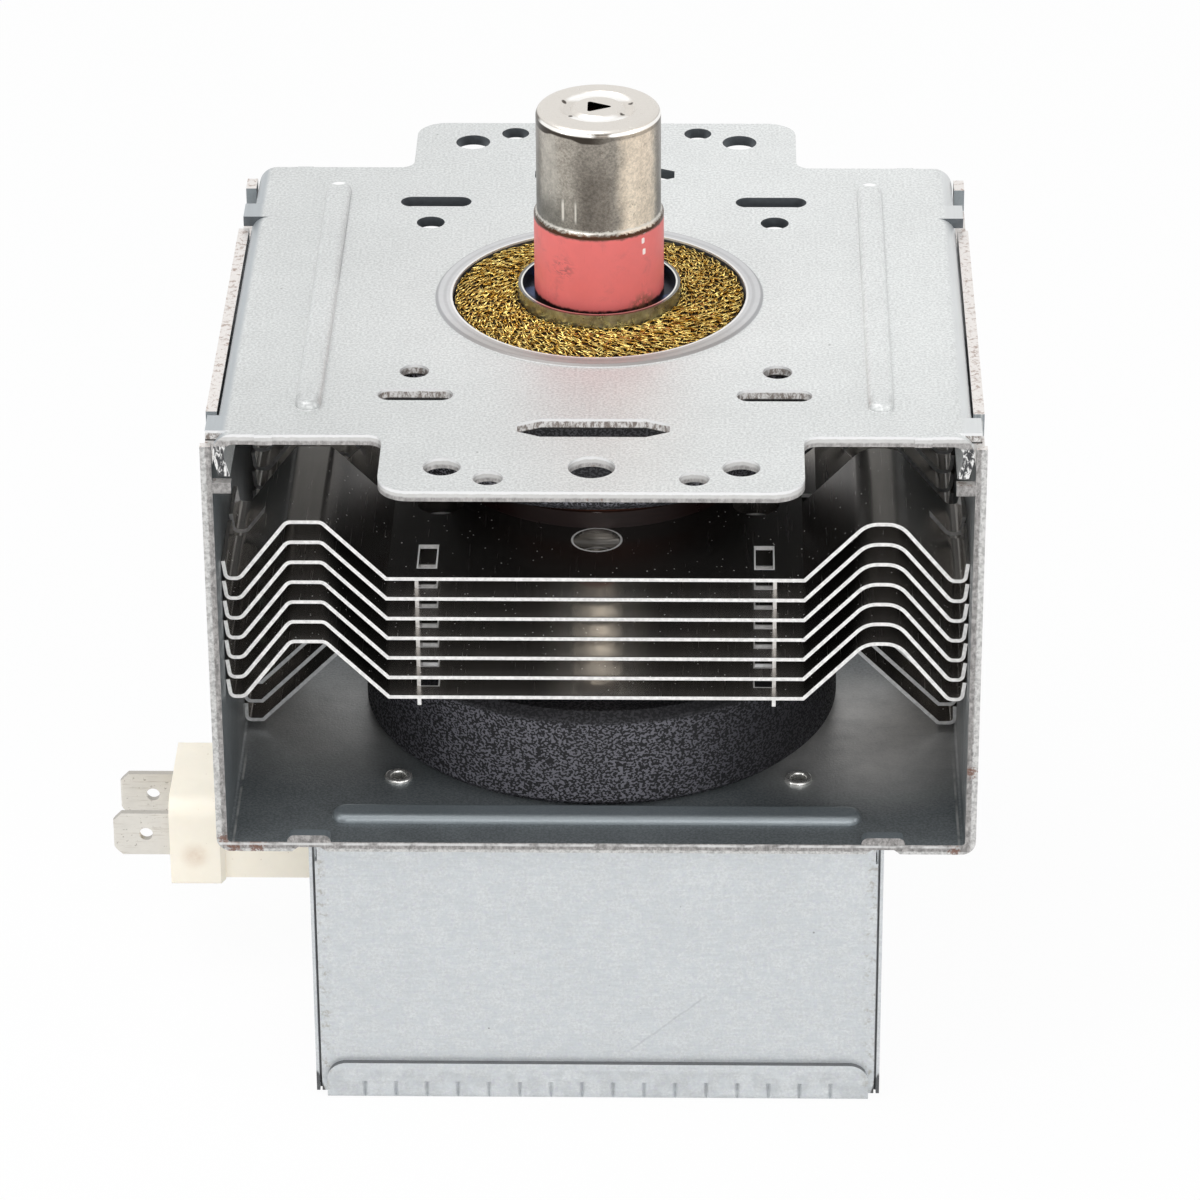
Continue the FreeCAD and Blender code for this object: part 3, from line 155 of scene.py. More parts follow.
def srgb(red, green, blue):
    """Linear colour from values of 0 to 255 as a picture shows them."""
    linear = []
    for value in (red, green, blue):
        share = value / 255
        linear.append(share / 12.92 if share <= 0.04045 else ((share + 0.055) / 1.055) ** 2.4)
    return (*linear, 1.0)


def grey(value):
    return (value, value, value, 1.0)


# Colours with a name of their own
WHITE = srgb(255, 255, 255)
PALE_RUST = srgb(118, 82, 62)
DARK_RUST = srgb(112, 70, 50)
# Steel darkened as painted shade, on the cap.
PAINTED_SHADE_STEEL = srgb(104, 98, 91)
BRAZE_BROWN = srgb(84, 58, 44)


def new_object(name, vertices, faces, smooth=True):
    """A mesh in the scene, from vertices in metres."""
    mesh = bpy.data.meshes.new(name)
    mesh.from_pydata(vertices, [], faces)
    mesh.validate()
    mesh.polygons.foreach_set("use_smooth", [smooth] * len(mesh.polygons))
    piece = bpy.data.objects.new(name, mesh)
    scene.collection.objects.link(piece)
    return piece


class Coat:
    """A node material laid out in the part's own millimetres."""

    def __init__(self, name, **constants):
        self.material = bpy.data.materials.new(name)
        self.material.use_nodes = True
        self.tree = self.material.node_tree
        self.shader = self.tree.nodes["Principled BSDF"]
        for socket, value in constants.items():
            self.shader.inputs[socket.replace("_", " ")].default_value = value
        coordinates = self.add("ShaderNodeTexCoord")
        scaled = self.add("ShaderNodeVectorMath", operation="SCALE")
        scaled.inputs["Scale"].default_value = 1 / MM
        self.tree.links.new(coordinates.outputs["Object"], scaled.inputs[0])
        self.place = scaled.outputs[0]
        self.x, self.y, self.z = self.split(self.place)
        self.outward, self.backward, self.upward = self.split(coordinates.outputs["Normal"])
        self.facing_y = self.size_of(self.backward)
        self.facing_z = self.size_of(self.upward)
        self.width = self.size_of(self.x)
        self.depth = self.size_of(self.y)
        self.reach = self.length(self.x, self.y)

    def add(self, kind, **settings):
        node = self.tree.nodes.new(kind)
        for name, value in settings.items():
            setattr(node, name, value)
        return node

    def feed(self, socket, value):
        if isinstance(value, bpy.types.NodeSocket):
            self.tree.links.new(value, socket)
        else:
            socket.default_value = value

    def split(self, vector):
        node = self.add("ShaderNodeSeparateXYZ")
        self.feed(node.inputs[0], vector)
        return node.outputs[0], node.outputs[1], node.outputs[2]

    def calculate(self, operation, first, second=0.0):
        node = self.add("ShaderNodeMath", operation=operation)
        self.feed(node.inputs[0], first)
        self.feed(node.inputs[1], second)
        return node.outputs[0]

    def fold(self, operation, values):
        total = values[0]
        for value in values[1:]:
            total = self.calculate(operation, total, value)
        return total

    def plus(self, *values):
        return self.fold("ADD", values)

    def times(self, *values):
        return self.fold("MULTIPLY", values)

    def either(self, *values):
        return self.fold("MAXIMUM", values)

    def squared(self, value):
        return self.times(value, value)

    def length(self, across, along):
        return self.calculate("SQRT", self.plus(self.squared(across), self.squared(along)))

    def without(self, value):
        return self.calculate("SUBTRACT", 1.0, value)

    def size_of(self, value):
        return self.calculate("ABSOLUTE", value)

    def rise(self, value, start, end):
        """0 below start and 1 above end, or the other way round where end is lower."""
        node = self.add("ShaderNodeMapRange", interpolation_type="SMOOTHSTEP")
        self.feed(node.inputs["Value"], value)
        low, high = min(start, end), max(start, end)
        node.inputs["From Min"].default_value = low
        node.inputs["From Max"].default_value = high
        node.inputs["To Min"].default_value = 0.0 if start < end else 1.0
        node.inputs["To Max"].default_value = 1.0 if start < end else 0.0
        return node.outputs["Result"]

    def band(self, value, start, full, fade, end):
        """1 from full to fade, falling to 0 at start and at end."""
        return self.times(self.rise(value, start, full), self.rise(value, end, fade))

    def near(self, centre, radius, soft=0.3):
        """1 about a point and 0 beyond the radius, in millimetres."""
        away = self.add("ShaderNodeVectorMath", operation="DISTANCE")
        self.feed(away.inputs[0], self.place)
        away.inputs[1].default_value = centre
        return self.rise(away.outputs["Value"], radius, radius * (1 - soft))

    def stretched(self, *scales):
        """The place with each axis multiplied by its scale, for noise that runs one way."""
        node = self.add("ShaderNodeMapping")
        self.feed(node.inputs["Vector"], self.place)
        node.inputs["Scale"].default_value = scales
        return node.outputs[0]

    def noise(self, scale, detail=3.0, rough=0.55, warp=0.0, place=None):
        node = self.add("ShaderNodeTexNoise")
        self.feed(node.inputs["Vector"], place or self.place)
        node.inputs["Scale"].default_value = scale
        node.inputs["Detail"].default_value = detail
        node.inputs["Roughness"].default_value = rough
        node.inputs["Distortion"].default_value = warp
        return node.outputs["Fac"]

    def patches(self, start, end, *noise, place=None):
        """Uneven patches: 0 and 1 where the noise passes start and end."""
        return self.rise(self.noise(*noise, place=place), start, end)

    def dots(self, scale, start, end):
        """Small round dots, at most one in each cell of the scale."""
        node = self.add("ShaderNodeTexVoronoi", feature="F1")
        self.feed(node.inputs["Vector"], self.place)
        node.inputs["Scale"].default_value = scale
        return self.rise(node.outputs["Distance"], start, end)

    def blend(self, factor, first, second):
        node = self.add("ShaderNodeMix", data_type="RGBA")
        self.feed(node.inputs["Factor"], factor)
        colours = [socket for socket in node.inputs if socket.type == "RGBA"]
        self.feed(colours[0], first)
        self.feed(colours[1], second)
        return next(socket for socket in node.outputs if socket.type == "RGBA")

    def cover(self, base, mask, colour, share=1.0):
        """The base with the colour over it where the mask is 1, as strongly as the share."""
        factor = mask if share == 1.0 else self.times(mask, share)
        return self.blend(factor, base, colour)

    def shade(self, colour, value, low, high):
        """The colour times low where value is 0, up to high where it is 1."""
        tone = self.add("ShaderNodeVectorMath", operation="SCALE")
        linked = isinstance(colour, bpy.types.NodeSocket)
        self.feed(tone.inputs[0], colour if linked else colour[:3])
        self.feed(tone.inputs["Scale"], self.level(value, low, high))
        return tone.outputs[0]

    def level(self, value, low, high):
        """Low where value is 0, up to high where it is 1."""
        node = self.add("ShaderNodeMapRange")
        self.feed(node.inputs["Value"], value)
        node.inputs["To Min"].default_value = low
        node.inputs["To Max"].default_value = high
        return node.outputs["Result"]

    def paint(self, colour=None, roughness=None, metallic=None, height=None, depth=0.02):
        """Feed what varies to the shader. Depth is the bump's height in millimetres."""
        varied = {"Base Color": colour, "Roughness": roughness, "Metallic": metallic}
        for socket, value in varied.items():
            if value is not None:
                self.feed(self.shader.inputs[socket], value)
        if height is not None:
            bump = self.add("ShaderNodeBump")
            bump.inputs["Distance"].default_value = depth * MM
            self.feed(bump.inputs["Height"], height)
            self.feed(self.shader.inputs["Normal"], bump.outputs[0])
        return self.material


def dress(material, *names):
    """Give the material to CAD nodes, each name a node's or the start of several."""
    for name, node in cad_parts.items():
        if name.startswith(names):
            if not node.material_slots:
                node.data.materials.append(material)
            for slot in node.material_slots:
                slot.material = material


# Sheet metal
def zinc_grain(coat, scale=ZINC_GRAIN):
    return coat.noise(scale, 2.0, 0.7)


def zinc(coat, colour, contrast, scale=ZINC_GRAIN):
    """Colour of galvanised sheet: fine grain on broad, faint clouds."""
    grain = coat.rise(zinc_grain(coat, scale), 0.32, 0.68)
    toned = coat.shade(colour, grain, 1 - contrast, 1 + contrast * 0.7)
    return coat.shade(toned, coat.noise(0.16, 3.0), 0.94, 1.06)


def cut_edge(coat, colour, rust_share):
    """Colour of a sheared edge: fine upright tears, grey zinc smears and a little rust."""
    upright = coat.stretched(2.6, 2.6, 1.1)
    tears = coat.patches(0.35, 0.65, 1.0, 4.0, 0.75, 0.3, place=upright)
    lined = coat.shade(colour, tears, 0.68, 1.14)
    smeared = coat.shade(lined, coat.patches(0.3, 0.7, 1.1, 3.0, 0.7), 0.74, 1.16)
    rust = coat.patches(rust_share, rust_share + 0.12, 1.3, 4.0, 0.65)
    return coat.cover(smeared, rust, PALE_RUST, 0.8)


def plate_coat():
    """Mounting plate: pale grained zinc with painted shade to the left and front, a greyer
    ring, bends greyed by painted shade, and torn edges.
    """
    coat = Coat("plated_sheet", Metallic=0.5, Specular_IOR_Level=0.5)
    drawn = coat.noise(0.5, 5.0, 0.7, place=coat.stretched(3.0, 0.2, 3.0))
    sheet = zinc(coat, srgb(225, 227, 226), 0.17)
    # Painted shade: darker to the left and towards the front.
    sheet = coat.shade(sheet, coat.rise(coat.x, -36.0, 10.0), 0.88, 1.0)
    sheet = coat.shade(sheet, coat.rise(coat.y, -8.0, SHEET_FRONT + 0.4), 1.0, 0.93)
    sheet = coat.shade(sheet, drawn, 0.96, 1.04)
    sheet = ear_corner_painted_light(coat, sheet)
    sheet = coat.cover(sheet, coat.dots(0.17, 0.03, 0.016), srgb(104, 102, 100), 0.55)
    # Painted shade on the side bends, darker on the left.
    left_to_right = coat.rise(coat.x, -5.0, 5.0)
    bend = coat.blend(left_to_right, srgb(180, 185, 188), srgb(216, 218, 218))
    rolled_side = coat.rise(coat.width, PLATE_BEND, PLATE_BEND + 0.7)
    sheet = coat.cover(sheet, rolled_side, coat.shade(bend, drawn, 0.86, 1.12))
    sheet = gasket_ring(coat, sheet)
    inside = coat.rise(coat.width, PLATE_BEND - 0.5, PLATE_BEND - 0.8)
    endwise = coat.rise(coat.facing_y, 0.6, 0.8)
    upright = coat.rise(coat.facing_z, 0.5, 0.25)
    edge = coat.times(upright, coat.either(inside, endwise))
    edge = coat.times(edge, coat.rise(coat.z, 0.1, 0.03))
    colour = coat.cover(sheet, edge, torn_plate_edge(coat))
    grain = zinc_grain(coat)
    worn = coat.plus(coat.times(grain, 0.6), coat.times(drawn, 0.4))
    return coat.paint(colour, coat.level(worn, 0.34, 0.56), height=grain, depth=0.03)


def ear_corner_painted_light(coat, sheet):
    """The ears' feet: painted shade that dulls the rounded corners at the front, and a painted
    glint at the rear.
    """
    slanting = coat.rise(coat.upward, 0.995, 0.95)
    for x in (EAR_CORNER_X, -EAR_CORNER_X):
        dull = coat.near((x, -28.2, 0.4), 2.6, 0.35)
        # Painted shade on the slopes of the front corners.
        sheet = coat.shade(sheet, coat.times(dull, slanting), 1.0, 0.84)
        # Painted white glint at the rear corner.
        sheet = coat.cover(sheet, coat.near((x, 28.5, 0.6), 1.1), WHITE)
    return sheet


def torn_plate_edge(coat):
    """Colour of the plate's edges: a painted highlight along the rolled upper line, sheared
    zinc and dark torn ends.
    """
    level = coat.plus(coat.z, coat.times(coat.noise(1.6, 3.0), 0.25))
    sheared = coat.shade(srgb(206, 205, 203), coat.noise(1.8, 4.0, 0.7), 0.82, 1.1)
    torn = cut_edge(coat, srgb(172, 169, 167), 0.63)
    edge = coat.blend(coat.rise(level, -0.5, -0.75), sheared, torn)
    behind_front = coat.rise(coat.y, SHEET_FRONT, SHEET_FRONT + 0.4)
    punched = coat.times(behind_front, coat.rise(coat.backward, -0.3, -0.6))
    edge = coat.cover(edge, punched, punched_wall(coat))
    # Painted highlight along the rolled top of the edges.
    edge = coat.cover(edge, coat.rise(level, -0.26, -0.12), srgb(232, 232, 232))
    rearward = coat.times(coat.rise(coat.y, 2.0, 6.0), coat.rise(coat.backward, 0.5, 0.2))
    slate = coat.shade(srgb(92, 97, 101), coat.noise(1.4), 0.7, 1.3)
    edge = coat.cover(edge, rearward, slate)
    upright = coat.stretched(2.2, 2.2, 0.9)
    scuffed = coat.patches(0.46, 0.6, 1.0, 4.0, 0.75, 0.8, place=upright)
    ends = coat.blend(scuffed, srgb(66, 66, 68), srgb(232, 231, 229))
    return coat.cover(edge, coat.rise(coat.z, -1.25, -1.6), ends)


def punched_wall(coat):
    """Wall of a punched opening: greyish brown and pale tears above a dark lower rim."""
    tears = coat.patches(0.4, 0.6, 1.6, 4.0, 0.75, 0.5, place=coat.stretched(1.6, 1.6, 0.8))
    wall = coat.blend(tears, srgb(126, 117, 111), srgb(216, 214, 212))
    return coat.cover(wall, coat.rise(coat.z, -0.95, -1.1), srgb(34, 32, 31))


def gasket_ring(coat, sheet):
    """The raised ring about the gasket: painted shade that greys it in front, painted shade in
    a crease and on the dim outer slope, and a painted highlight along the hole's edge.
    """
    # Painted shade: the ring greyer towards the front.
    front = coat.rise(coat.y, -4.0, -15.0)
    flat = coat.blend(front, srgb(208, 209, 210), srgb(180, 177, 174))
    flat = coat.shade(flat, coat.noise(1.5, 3.0), 0.92, 1.06)
    # Painted shade in the crease.
    crease = coat.band(coat.reach, 16.9, 17.05, 17.2, 17.45)
    flat = coat.shade(flat, crease, 1.0, 0.86)
    # Painted shade on the outer slope, darker in front.
    slope = coat.blend(front, srgb(168, 168, 170), srgb(146, 142, 140))
    ring = coat.cover(flat, coat.rise(coat.reach, RING_SLOPE, RING_SLOPE + 0.2), slope)
    # Painted highlight along the hole's edge.
    inner_lip = coat.rise(coat.reach, RING_LIP, RING_LIP - 0.15)
    ring = coat.cover(ring, inner_lip, srgb(238, 238, 236))
    return coat.cover(sheet, coat.rise(coat.reach, RING_END, RING_END - 0.15), ring)


def frame_coat():
    """Frame: bare zinc outside, its inside dimmed by painted shade with painted light on its
    floor, and two-toned torn edges.
    """
    coat = Coat("plated_frame_sheet", Metallic=0.5)
    grain = zinc_grain(coat)
    bright = zinc(coat, srgb(214, 219, 221), 0.12)
    front_face = coat.rise(coat.backward, -0.02, -0.55)
    bead = coat.times(front_face, coat.rise(coat.y, SHEET_FRONT + 0.2, SHEET_FRONT + 0.5))
    # The inside: painted shade, with painted light on the bead and painted reflections on the
    # floor.
    inner = frame_inside_painted_light(coat, grain, bead)
    looking_up = coat.rise(coat.upward, 0.1, 0.3)
    on_floor = coat.times(looking_up, coat.rise(coat.z, -10.0, -14.0))
    on_wall = coat.rise(coat.times(coat.x, coat.outward), -10.0, -20.0)
    slope = coat.times(bead, coat.rise(coat.z, FLOOR_TOP - 0.3, FLOOR_TOP + 0.1))
    sheet = coat.cover(bright, coat.either(on_floor, on_wall, slope), inner)
    rim = coat.times(coat.rise(coat.upward, 0.5, 0.8), coat.rise(coat.z, -12.0, -8.0))
    torn_top = coat.patches(0.34, 0.5, 1.3, 4.0, 0.75, 0.5)
    top = coat.blend(torn_top, srgb(176, 158, 148), srgb(234, 229, 225))
    colour = coat.cover(sheet, rim, top)
    at_ends = coat.rise(coat.depth, -SHEET_FRONT - 0.15, -SHEET_FRONT)
    ends = coat.times(coat.rise(coat.facing_y, 0.7, 0.9), at_ends)
    colour = coat.cover(colour, ends, frame_edge(coat))
    roughness = coat.level(coat.noise(0.4, 4.0, 0.6), 0.3, 0.5)
    return coat.paint(colour, roughness, height=grain, depth=0.03)


def frame_inside_painted_light(coat, grain, bead):
    """Colour inside the frame: zinc dimmed by painted shade and darker towards the back,
    painted light on the floor's bead, painted reflections on the floor, and a scored line.
    """
    # Painted shade: the inside dimmer than the outside, and darker towards the back.
    inner = coat.shade(srgb(126, 132, 135), coat.rise(grain, 0.3, 0.7), 0.76, 1.22)
    inner = coat.shade(inner, coat.noise(0.12, 3.0, 0.6), 0.75, 1.25)
    inner = coat.shade(inner, coat.rise(coat.y, SHEET_FRONT + 0.4, -8.0), 1.0, 0.8)
    # Painted light on the crown of the floor's bead near the front.
    crown = coat.times(
        coat.rise(coat.z, FLOOR_TOP + 0.2, FLOOR_TOP + 0.7),
        coat.rise(coat.upward, 0.5, 0.9),
        coat.rise(coat.y, -24.0, -26.0),
    )
    inner = coat.cover(inner, crown, srgb(140, 150, 156), 0.6)
    # Painted light on the bead's front slope.
    inner = coat.cover(inner, bead, coat.shade(srgb(142, 149, 153), grain, 0.86, 1.12))
    # Painted reflections: pale pools on the floor, stronger on the right.
    pale = coat.either(
        coat.near((30.0, -11.0, FLOOR_TOP), 19.0, 0.75),
        coat.times(coat.near((-31.0, -8.0, FLOOR_TOP), 18.0, 0.9), 0.5),
    )
    pale = coat.times(pale, coat.level(coat.noise(0.3, 4.0, 0.65), 0.55, 1.35))
    inner = coat.cover(inner, pale, coat.shade(srgb(228, 227, 225), grain, 0.84, 1.12))
    right_wall = coat.times(
        coat.rise(coat.x, WALL_INSIDE - 0.3, WALL_INSIDE),
        coat.rise(coat.z, FLOOR_TOP + 0.7, FLOOR_TOP + 2.3),
        coat.rise(coat.y, -14.0, -26.0),
    )
    streaks = coat.patches(0.45, 0.7, 1.0, 4.0, 0.7, place=coat.stretched(4.0, 4.0, 0.3))
    inner = coat.cover(inner, coat.times(right_wall, streaks), srgb(236, 235, 232))
    scored = coat.times(
        coat.band(coat.width, 39.75, 39.9, 39.98, 40.15),
        coat.rise(coat.y, -13.0, -17.0),
        coat.patches(0.36, 0.6, 0.3, 2.0),
    )
    return coat.cover(inner, scored, srgb(222, 222, 220), 0.7)


def frame_edge(coat):
    """Front edge of the frame: its outer half bright, its inner half brownish, a broken painted
    highlight along the floor's edge, and rust spots."""
    ragged = coat.times(coat.plus(coat.noise(1.4, 3.0, 0.7), -0.5), 0.5)
    width = coat.plus(coat.width, ragged)
    on_side = coat.rise(width, WALL_MIDDLE - 0.1, WALL_MIDDLE + 0.1)
    height = coat.plus(coat.z, ragged)
    below = coat.rise(height, FLOOR_TOP - 0.7, FLOOR_TOP - 0.9)
    torn = cut_edge(coat, srgb(162, 159, 157), 0.66)
    torn = coat.shade(torn, coat.patches(0.36, 0.6, 1.3, 4.0, 0.75), 0.72, 1.12)
    scraped = coat.patches(0.36, 0.6, 2.0, 4.0, 0.75)
    shiny = coat.shade(srgb(206, 205, 203), scraped, 0.62, 1.04)
    edge = coat.cover(torn, coat.either(on_side, below), shiny)
    rusty = coat.either(*(coat.near(place, size, 1.0) for place, size in RUST_SPOTS))
    rust = coat.plus(coat.times(rusty, 0.3), coat.noise(3.4, 5.0, 0.8))
    edge = coat.cover(edge, coat.rise(rust, 0.68, 0.78), DARK_RUST, 0.8)
    # Painted highlight along the top of the floor's edge, broken in places.
    lit = coat.band(coat.z, FLOOR_TOP - 0.42, FLOOR_TOP - 0.3, FLOOR_TOP - 0.12, FLOOR_TOP)
    lit = coat.times(lit, coat.patches(0.35, 0.55, 0.5, 3.0))
    return coat.cover(edge, lit, srgb(226, 226, 225), 0.7)


def box_coat():
    """Filter box and lid: cool pale zinc with faint patches and a few dark specks, dark seams,
    painted shade in the open lower corners, and a scratch on the front."""
    coat = Coat("plated_box_sheet", Metallic=0.45)
    sheet = zinc(coat, srgb(205, 208, 209), 0.09, 3.0)
    pressed = coat.patches(0.42, 0.6, 0.75, 5.0, 0.75, 0.4)
    sheet = coat.cover(sheet, pressed, srgb(195, 200, 203), 0.6)
    drawn = coat.patches(0.35, 0.65, 0.8, 5.0, 0.7, place=coat.stretched(0.5, 1.0, 3.0))
    sheet = coat.shade(sheet, drawn, 0.955, 1.03)
    violet = coat.patches(0.52, 0.66, 1.9, 3.0, 0.7)
    sheet = coat.cover(sheet, violet, srgb(190, 188, 202), 0.35)
    low = coat.rise(coat.z, BOX_FOOT + 0.6, BOX_FOOT)
    low = coat.times(low, coat.patches(0.4, 0.6, 0.5, 3.0))
    sheet = coat.shade(sheet, low, 1.0, 0.9)
    specks = coat.either(
        coat.dots(0.14, 0.022, 0.012),
        coat.patches(0.74, 0.78, 3.2, 2.0, 0.7),
    )
    sheet = coat.cover(sheet, specks, srgb(96, 94, 96), 0.6)
    front = coat.rise(coat.backward, -0.5, -0.8)
    grime = coat.times(coat.band(coat.width, 29.4, 30.4, 31.2, 31.4), front)
    grime = coat.times(grime, coat.patches(0.5, 0.66, 1.1, 5.0, 0.75))
    sheet = coat.cover(sheet, grime, srgb(140, 130, 112), 0.5)
    seam = coat.band(
        coat.width, BOX_SEAM - 0.14, BOX_SEAM - 0.06, BOX_SEAM + 0.06, BOX_SEAM + 0.14
    )
    seam = coat.times(seam, coat.rise(coat.facing_y, 0.5, 0.8))
    looking_up = coat.rise(coat.upward, 0.3, 0.7)
    ledge = coat.times(looking_up, coat.rise(coat.z, -70.0, -74.0))
    sheet = coat.cover(sheet, coat.either(seam, ledge), srgb(52, 52, 54), 0.8)
    # Painted shade in the open lower corners.
    corner = coat.rise(coat.plus(coat.width, coat.times(coat.z, -0.3)), 55.72, 55.9)
    corner = coat.times(corner, coat.rise(coat.z, BOX_FOOT, BOX_FOOT - 0.6))
    sheet = coat.cover(sheet, coat.times(corner, front), srgb(38, 38, 40), 0.85)
    scratch = coat.times(box_scratch(coat), front)
    scratch = coat.times(scratch, coat.near(SCRATCH_MIDDLE, SCRATCH_REACH))
    sheet = coat.cover(sheet, scratch, srgb(138, 140, 146), 0.24)
    roughness = coat.level(coat.noise(0.9, 4.0, 0.65), 0.34, 0.5)
    return coat.paint(sheet, roughness, height=coat.noise(1.6, 3.0, 0.6), depth=0.04)


def box_scratch(coat):
    """A thin, slightly wavy line that climbs to the right over the whole front."""
    fall, run, shift = SCRATCH_LINE
    away = coat.plus(coat.times(coat.x, fall), coat.times(coat.z, run), shift)
    away = coat.plus(away, coat.times(coat.noise(0.35, 3.0), 0.6))
    return coat.rise(coat.size_of(away), 0.16, 0.06)


def fin_coat():
    """Fins: rolled faces darkened at the front by painted dark reflections, sheared edges
    painted lighter at the front, burred rims painted as highlights, shiny collars with painted
    highlight and shade, a smooth middle patch painted bright, and dust.
    """
    coat = Coat("fin_aluminium")
    rolled = coat.noise(1.0, 3.0, 0.6, place=coat.stretched(3.0, 0.08, 3.0))
    face = coat.shade(srgb(166, 161, 156), coat.rise(rolled, 0.3, 0.7), 0.93, 1.05)
    face = coat.shade(face, coat.noise(0.12, 2.0), 0.8, 1.2)
    forward = coat.rise(coat.y, 6.0, -6.0)
    # Painted dark reflections: the top fin's face and the folds' slopes darker at the front.
    on_top = coat.rise(coat.z, TOP_FIN_FACE - 0.5, TOP_FIN_FACE - 0.1)
    inner_face = coat.rise(coat.width, FIN_FOLD + 1.6, FIN_FOLD)
    painted_dark_reflection = coat.times(on_top, forward, inner_face)
    slope = coat.band(coat.width, FIN_FOLD, FIN_FOLD + 0.6, FIN_FOLD + 5.1, FIN_FOLD + 7.1)
    face = coat.shade(face, coat.either(painted_dark_reflection, coat.times(slope, forward)), 1.0, 0.26)
    rear = coat.rise(coat.y, 2.0, 14.0)
    face = coat.cover(face, rear, srgb(226, 223, 219))
    dust = coat.times(coat.dots(1.1, 0.12, 0.06), coat.patches(0.44, 0.54, 0.3, 3.0))
    face = coat.cover(face, dust, srgb(250, 248, 244), 0.9)
    # A smooth patch in the middle front, painted bright as a highlight so that the collars show
    # brightly in it.
    polished_painted_highlight = coat.times(
        coat.band(coat.x, -7.0, -2.4, 2.8, 7.4),
        coat.rise(coat.y, FIN_FRONT - 0.3, FIN_FRONT + 0.6),
        coat.rise(coat.z, TOP_FIN_FACE - 0.5, TOP_FIN_FACE - 0.9),
        coat.rise(coat.y, 2.0, -2.0),
    )
    face = coat.cover(face, polished_painted_highlight, srgb(250, 246, 240), 0.75)
    # Painted highlights along the burred rims of the windows and holes.
    burr_highlights = fin_burr_highlights(coat)
    face = coat.cover(face, burr_highlights, srgb(255, 254, 252))
    endwise = coat.rise(coat.facing_y, 0.75, 0.9)
    # Cut edges painted lighter at the front than deeper in.
    front_edge = coat.rise(coat.y, -25.2, -26.4)
    cut = coat.blend(front_edge, srgb(206, 206, 206), srgb(240, 239, 237))
    cut = coat.shade(cut, coat.patches(0.3, 0.7, 2.2, 2.0), 0.84, 1.05)
    colour = coat.cover(face, endwise, cut)
    upright = coat.rise(coat.facing_z, 0.6, 0.3)
    collar = coat.times(coat.rise(coat.reach, COLLAR_REACH + 0.4, COLLAR_REACH), upright)
    # Painted highlight on the middle front of the collars below the top fin.
    lit = coat.rise(coat.width, 4.0, 0.4)
    lit = coat.times(lit, coat.rise(coat.z, TOP_FIN_FACE - 3.1, TOP_FIN_FACE - 3.5))
    colour = coat.cover(colour, collar, collar_colour(coat, lit))
    unlit = coat.times(collar, coat.level(lit, 0.7, 0.1))
    dull = coat.either(burr_highlights, coat.times(dust, 0.8), unlit, coat.times(rear, 0.4))
    metal = coat.level(dull, 0.85, 0.0)
    roughness = coat.cover(coat.level(rolled, 0.22, 0.3), endwise, grey(0.45))
    bare = coat.either(polished_painted_highlight, coat.times(collar, lit))
    roughness = coat.cover(roughness, bare, grey(0.15))
    height = coat.plus(coat.times(rolled, 0.001), collar_foot(coat, collar))
    return coat.paint(colour, roughness, metal, height=height, depth=1.0)


def collar_colour(coat, lit):
    """The collars: a painted highlight in the middle front and painted shade elsewhere, and
    painted shade on the top one, near black with a copper-brown tint.
    """
    # Painted highlight where lit, painted shade elsewhere.
    lower = coat.blend(lit, srgb(84, 80, 75), srgb(222, 217, 209))
    # Painted shade on the top collar: near black, tinted copper-brown.
    topmost = coat.rise(coat.z, TOP_FIN_FACE - 0.4, TOP_FIN_FACE + 0.1)
    arcs = coat.noise(1.0, 4.0, 0.7, place=coat.stretched(0.3, 0.3, 3.0))
    return coat.cover(lower, topmost, coat.blend(arcs, srgb(12, 8, 8), srgb(46, 28, 26)))


def collar_foot(coat, collar):
    """Height of the rounded foot of each collar below the top one, in millimetres."""
    stack = abs(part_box("cooling_fin_1")[1].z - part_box("cooling_fin_7")[1].z)
    pitch = stack / FIN_GAPS / MM
    steps = coat.times(coat.plus(coat.z, -TOP_FIN_FACE), 1 / pitch)
    above_face = coat.times(coat.calculate("FRACT", steps), pitch)
    toe = coat.either(coat.plus(FOOT_HEIGHT, coat.times(above_face, -1.0)), 0.0)
    below_top = coat.rise(coat.z, TOP_FIN_FACE - 0.4, TOP_FIN_FACE - 0.9)
    front = coat.times(coat.rise(coat.y, 0.0, -4.0), below_top)
    curve = coat.times(coat.squared(toe), FOOT_CURVE)
    return coat.times(coat.times(collar, front), curve)


def fin_burr_highlights(coat):
    """Thin rims about the tab windows and the round holes of a fin, painted bright as
    highlights.
    """
    across, along = (
        coat.plus(coat.size_of(coat.plus(distance, -middle)), -half)
        for distance, middle, half in (
            (coat.width, WINDOW_MIDDLE_X, WINDOW_HALF_X),
            (coat.depth, WINDOW_MIDDLE_Y, WINDOW_HALF_Y),
        )
    )
    window = coat.size_of(coat.either(across, along))
    distance = coat.length(coat.x, coat.plus(coat.depth, -FIN_HOLE_Y))
    hole = coat.size_of(coat.plus(distance, -FIN_HOLE_RADIUS))
    rim = coat.either(coat.rise(window, 0.22, 0.12), coat.rise(hole, 0.3, 0.16))
    return coat.times(rim, coat.rise(coat.upward, 0.6, 0.9))


